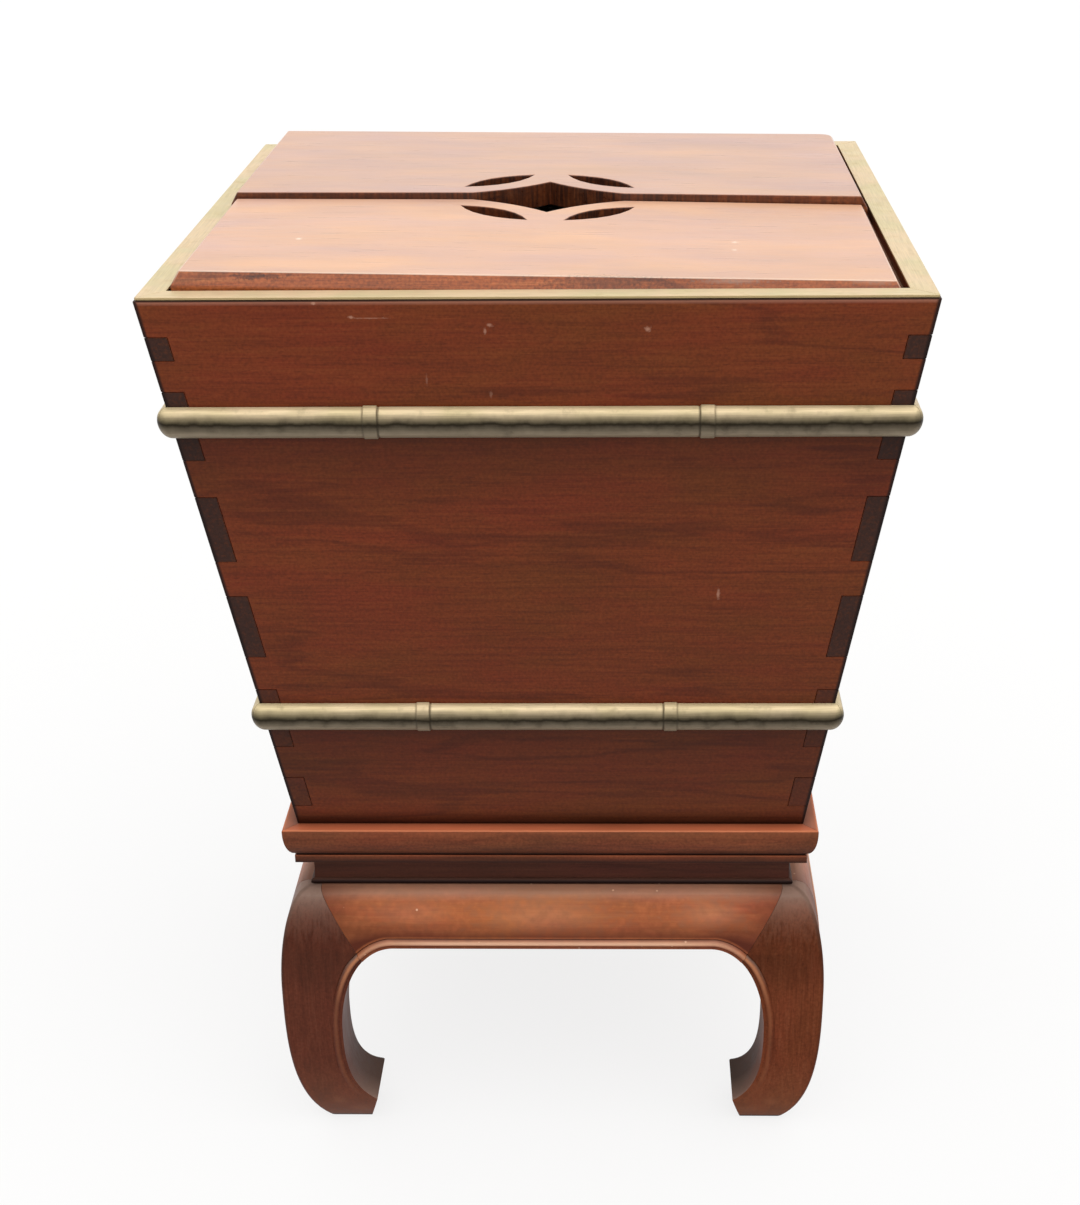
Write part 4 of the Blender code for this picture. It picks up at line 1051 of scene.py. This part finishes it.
floor_mesh = bpy.data.meshes.new("studio_floor")
floor_corners = [
    (-floor_side, -floor_front, 0), (floor_side, -floor_front, 0),
    (floor_side, floor_back, 0), (-floor_side, floor_back, 0),
]
floor_mesh.from_pydata(floor_corners, [], [(0, 1, 2, 3)])
floor = put("studio_floor", floor_mesh)
floor_paint = bpy.data.materials.new("matt_white_floor")
floor_paint.use_nodes = True
tree = floor_paint.node_tree
paint = add(tree, "BsdfDiffuse", {"Color": linear(floor_colour)})
white = add(tree, "Emission", {"Color": linear(backdrop_white), "Strength": 1.0})
share = add(tree, "MapRange", {"Value": shows_backdrop(tree), "To Max": floor_glow})
mixed = add(tree, "MixShader", {0: share, 1: paint, 2: white})
tree.links.new(mixed.outputs[0], tree.nodes["Material Output"].inputs["Surface"])
floor_mesh.materials.append(floor_paint)

dim_level = 0.10
front_level = 0.5
back_level = 0.95
top_level = 0.9
world = bpy.data.worlds.new("studio_sky")
world.use_nodes = True
bpy.context.scene.world = world
tree = world.node_tree
way = add(tree, "SeparateXYZ", {0: add(tree, "TexCoord").outputs["Generated"]}).outputs
low_front = add(tree, "MapRange", {"Value": way["Z"], "From Min": 0.02, "From Max": 0.35,
                                   "To Min": dim_level, "To Max": front_level},
                interpolation_type="SMOOTHSTEP")
behind = add(tree, "MapRange", {"Value": way["Y"], "From Min": -0.5, "From Max": 0.5},
             interpolation_type="SMOOTHSTEP")
round_level = add(tree, "Mix", {0: behind, 2: low_front, 3: back_level}, data_type="FLOAT")
overhead = add(tree, "MapRange", {"Value": way["Z"], "From Min": 0.2, "From Max": 0.9},
               interpolation_type="SMOOTHSTEP")
sky_level = add(tree, "Mix", {0: overhead, 2: round_level, 3: top_level}, data_type="FLOAT")
level = add(tree, "Mix", {0: shows_backdrop(tree), 2: sky_level, 3: 1.0}, data_type="FLOAT")
tree.links.new(level.outputs[0], tree.nodes["Background"].inputs["Strength"])
tree.nodes["Background"].inputs["Color"].default_value = linear(backdrop_white)

lamp_strength = 1.9
lamp_spread = math.radians(80)
lamp_tip = math.radians(30)
lamp_pan = math.radians(16)
lamp = bpy.data.lights.new("soft_top_lamp", "SUN")
lamp.energy = lamp_strength
lamp.angle = lamp_spread
lamp_stand = put("soft_top_lamp", lamp)
lamp_stand.rotation_euler = (lamp_tip, 0, lamp_pan)

# Camera
# Above and in front of the chest, a little to the right, looking down at the lids. Its place and angles were
# solved from the edges of the rim, the chest's foot and the frame.
photo_width, photo_height = 1080, 1205
focal_pixels = 2008.4
middle_pixel = 587.3
raised_pixels = 0.7
camera_pan = Matrix.Rotation(math.radians(1.2), 3, "Z")
camera_tip = Matrix.Rotation(math.radians(66.44), 3, "X")
camera_roll = Matrix.Rotation(math.radians(-0.54), 3, "Z")
camera_place = (0.0590, -1.5529, rim_top + 0.3428)
camera = bpy.data.cameras.new("photograph_view")
camera.sensor_width = 36
camera.lens = focal_pixels * camera.sensor_width / photo_height
camera.shift_x = (photo_width / 2 - middle_pixel) / photo_height
camera.shift_y = -raised_pixels / photo_height
viewpoint = put("photograph_view", camera)
viewpoint.rotation_euler = (camera_pan @ camera_tip @ camera_roll).to_euler()
viewpoint.location = camera_place
bpy.context.scene.camera = viewpoint
bpy.context.scene.view_settings.view_transform = "Standard"
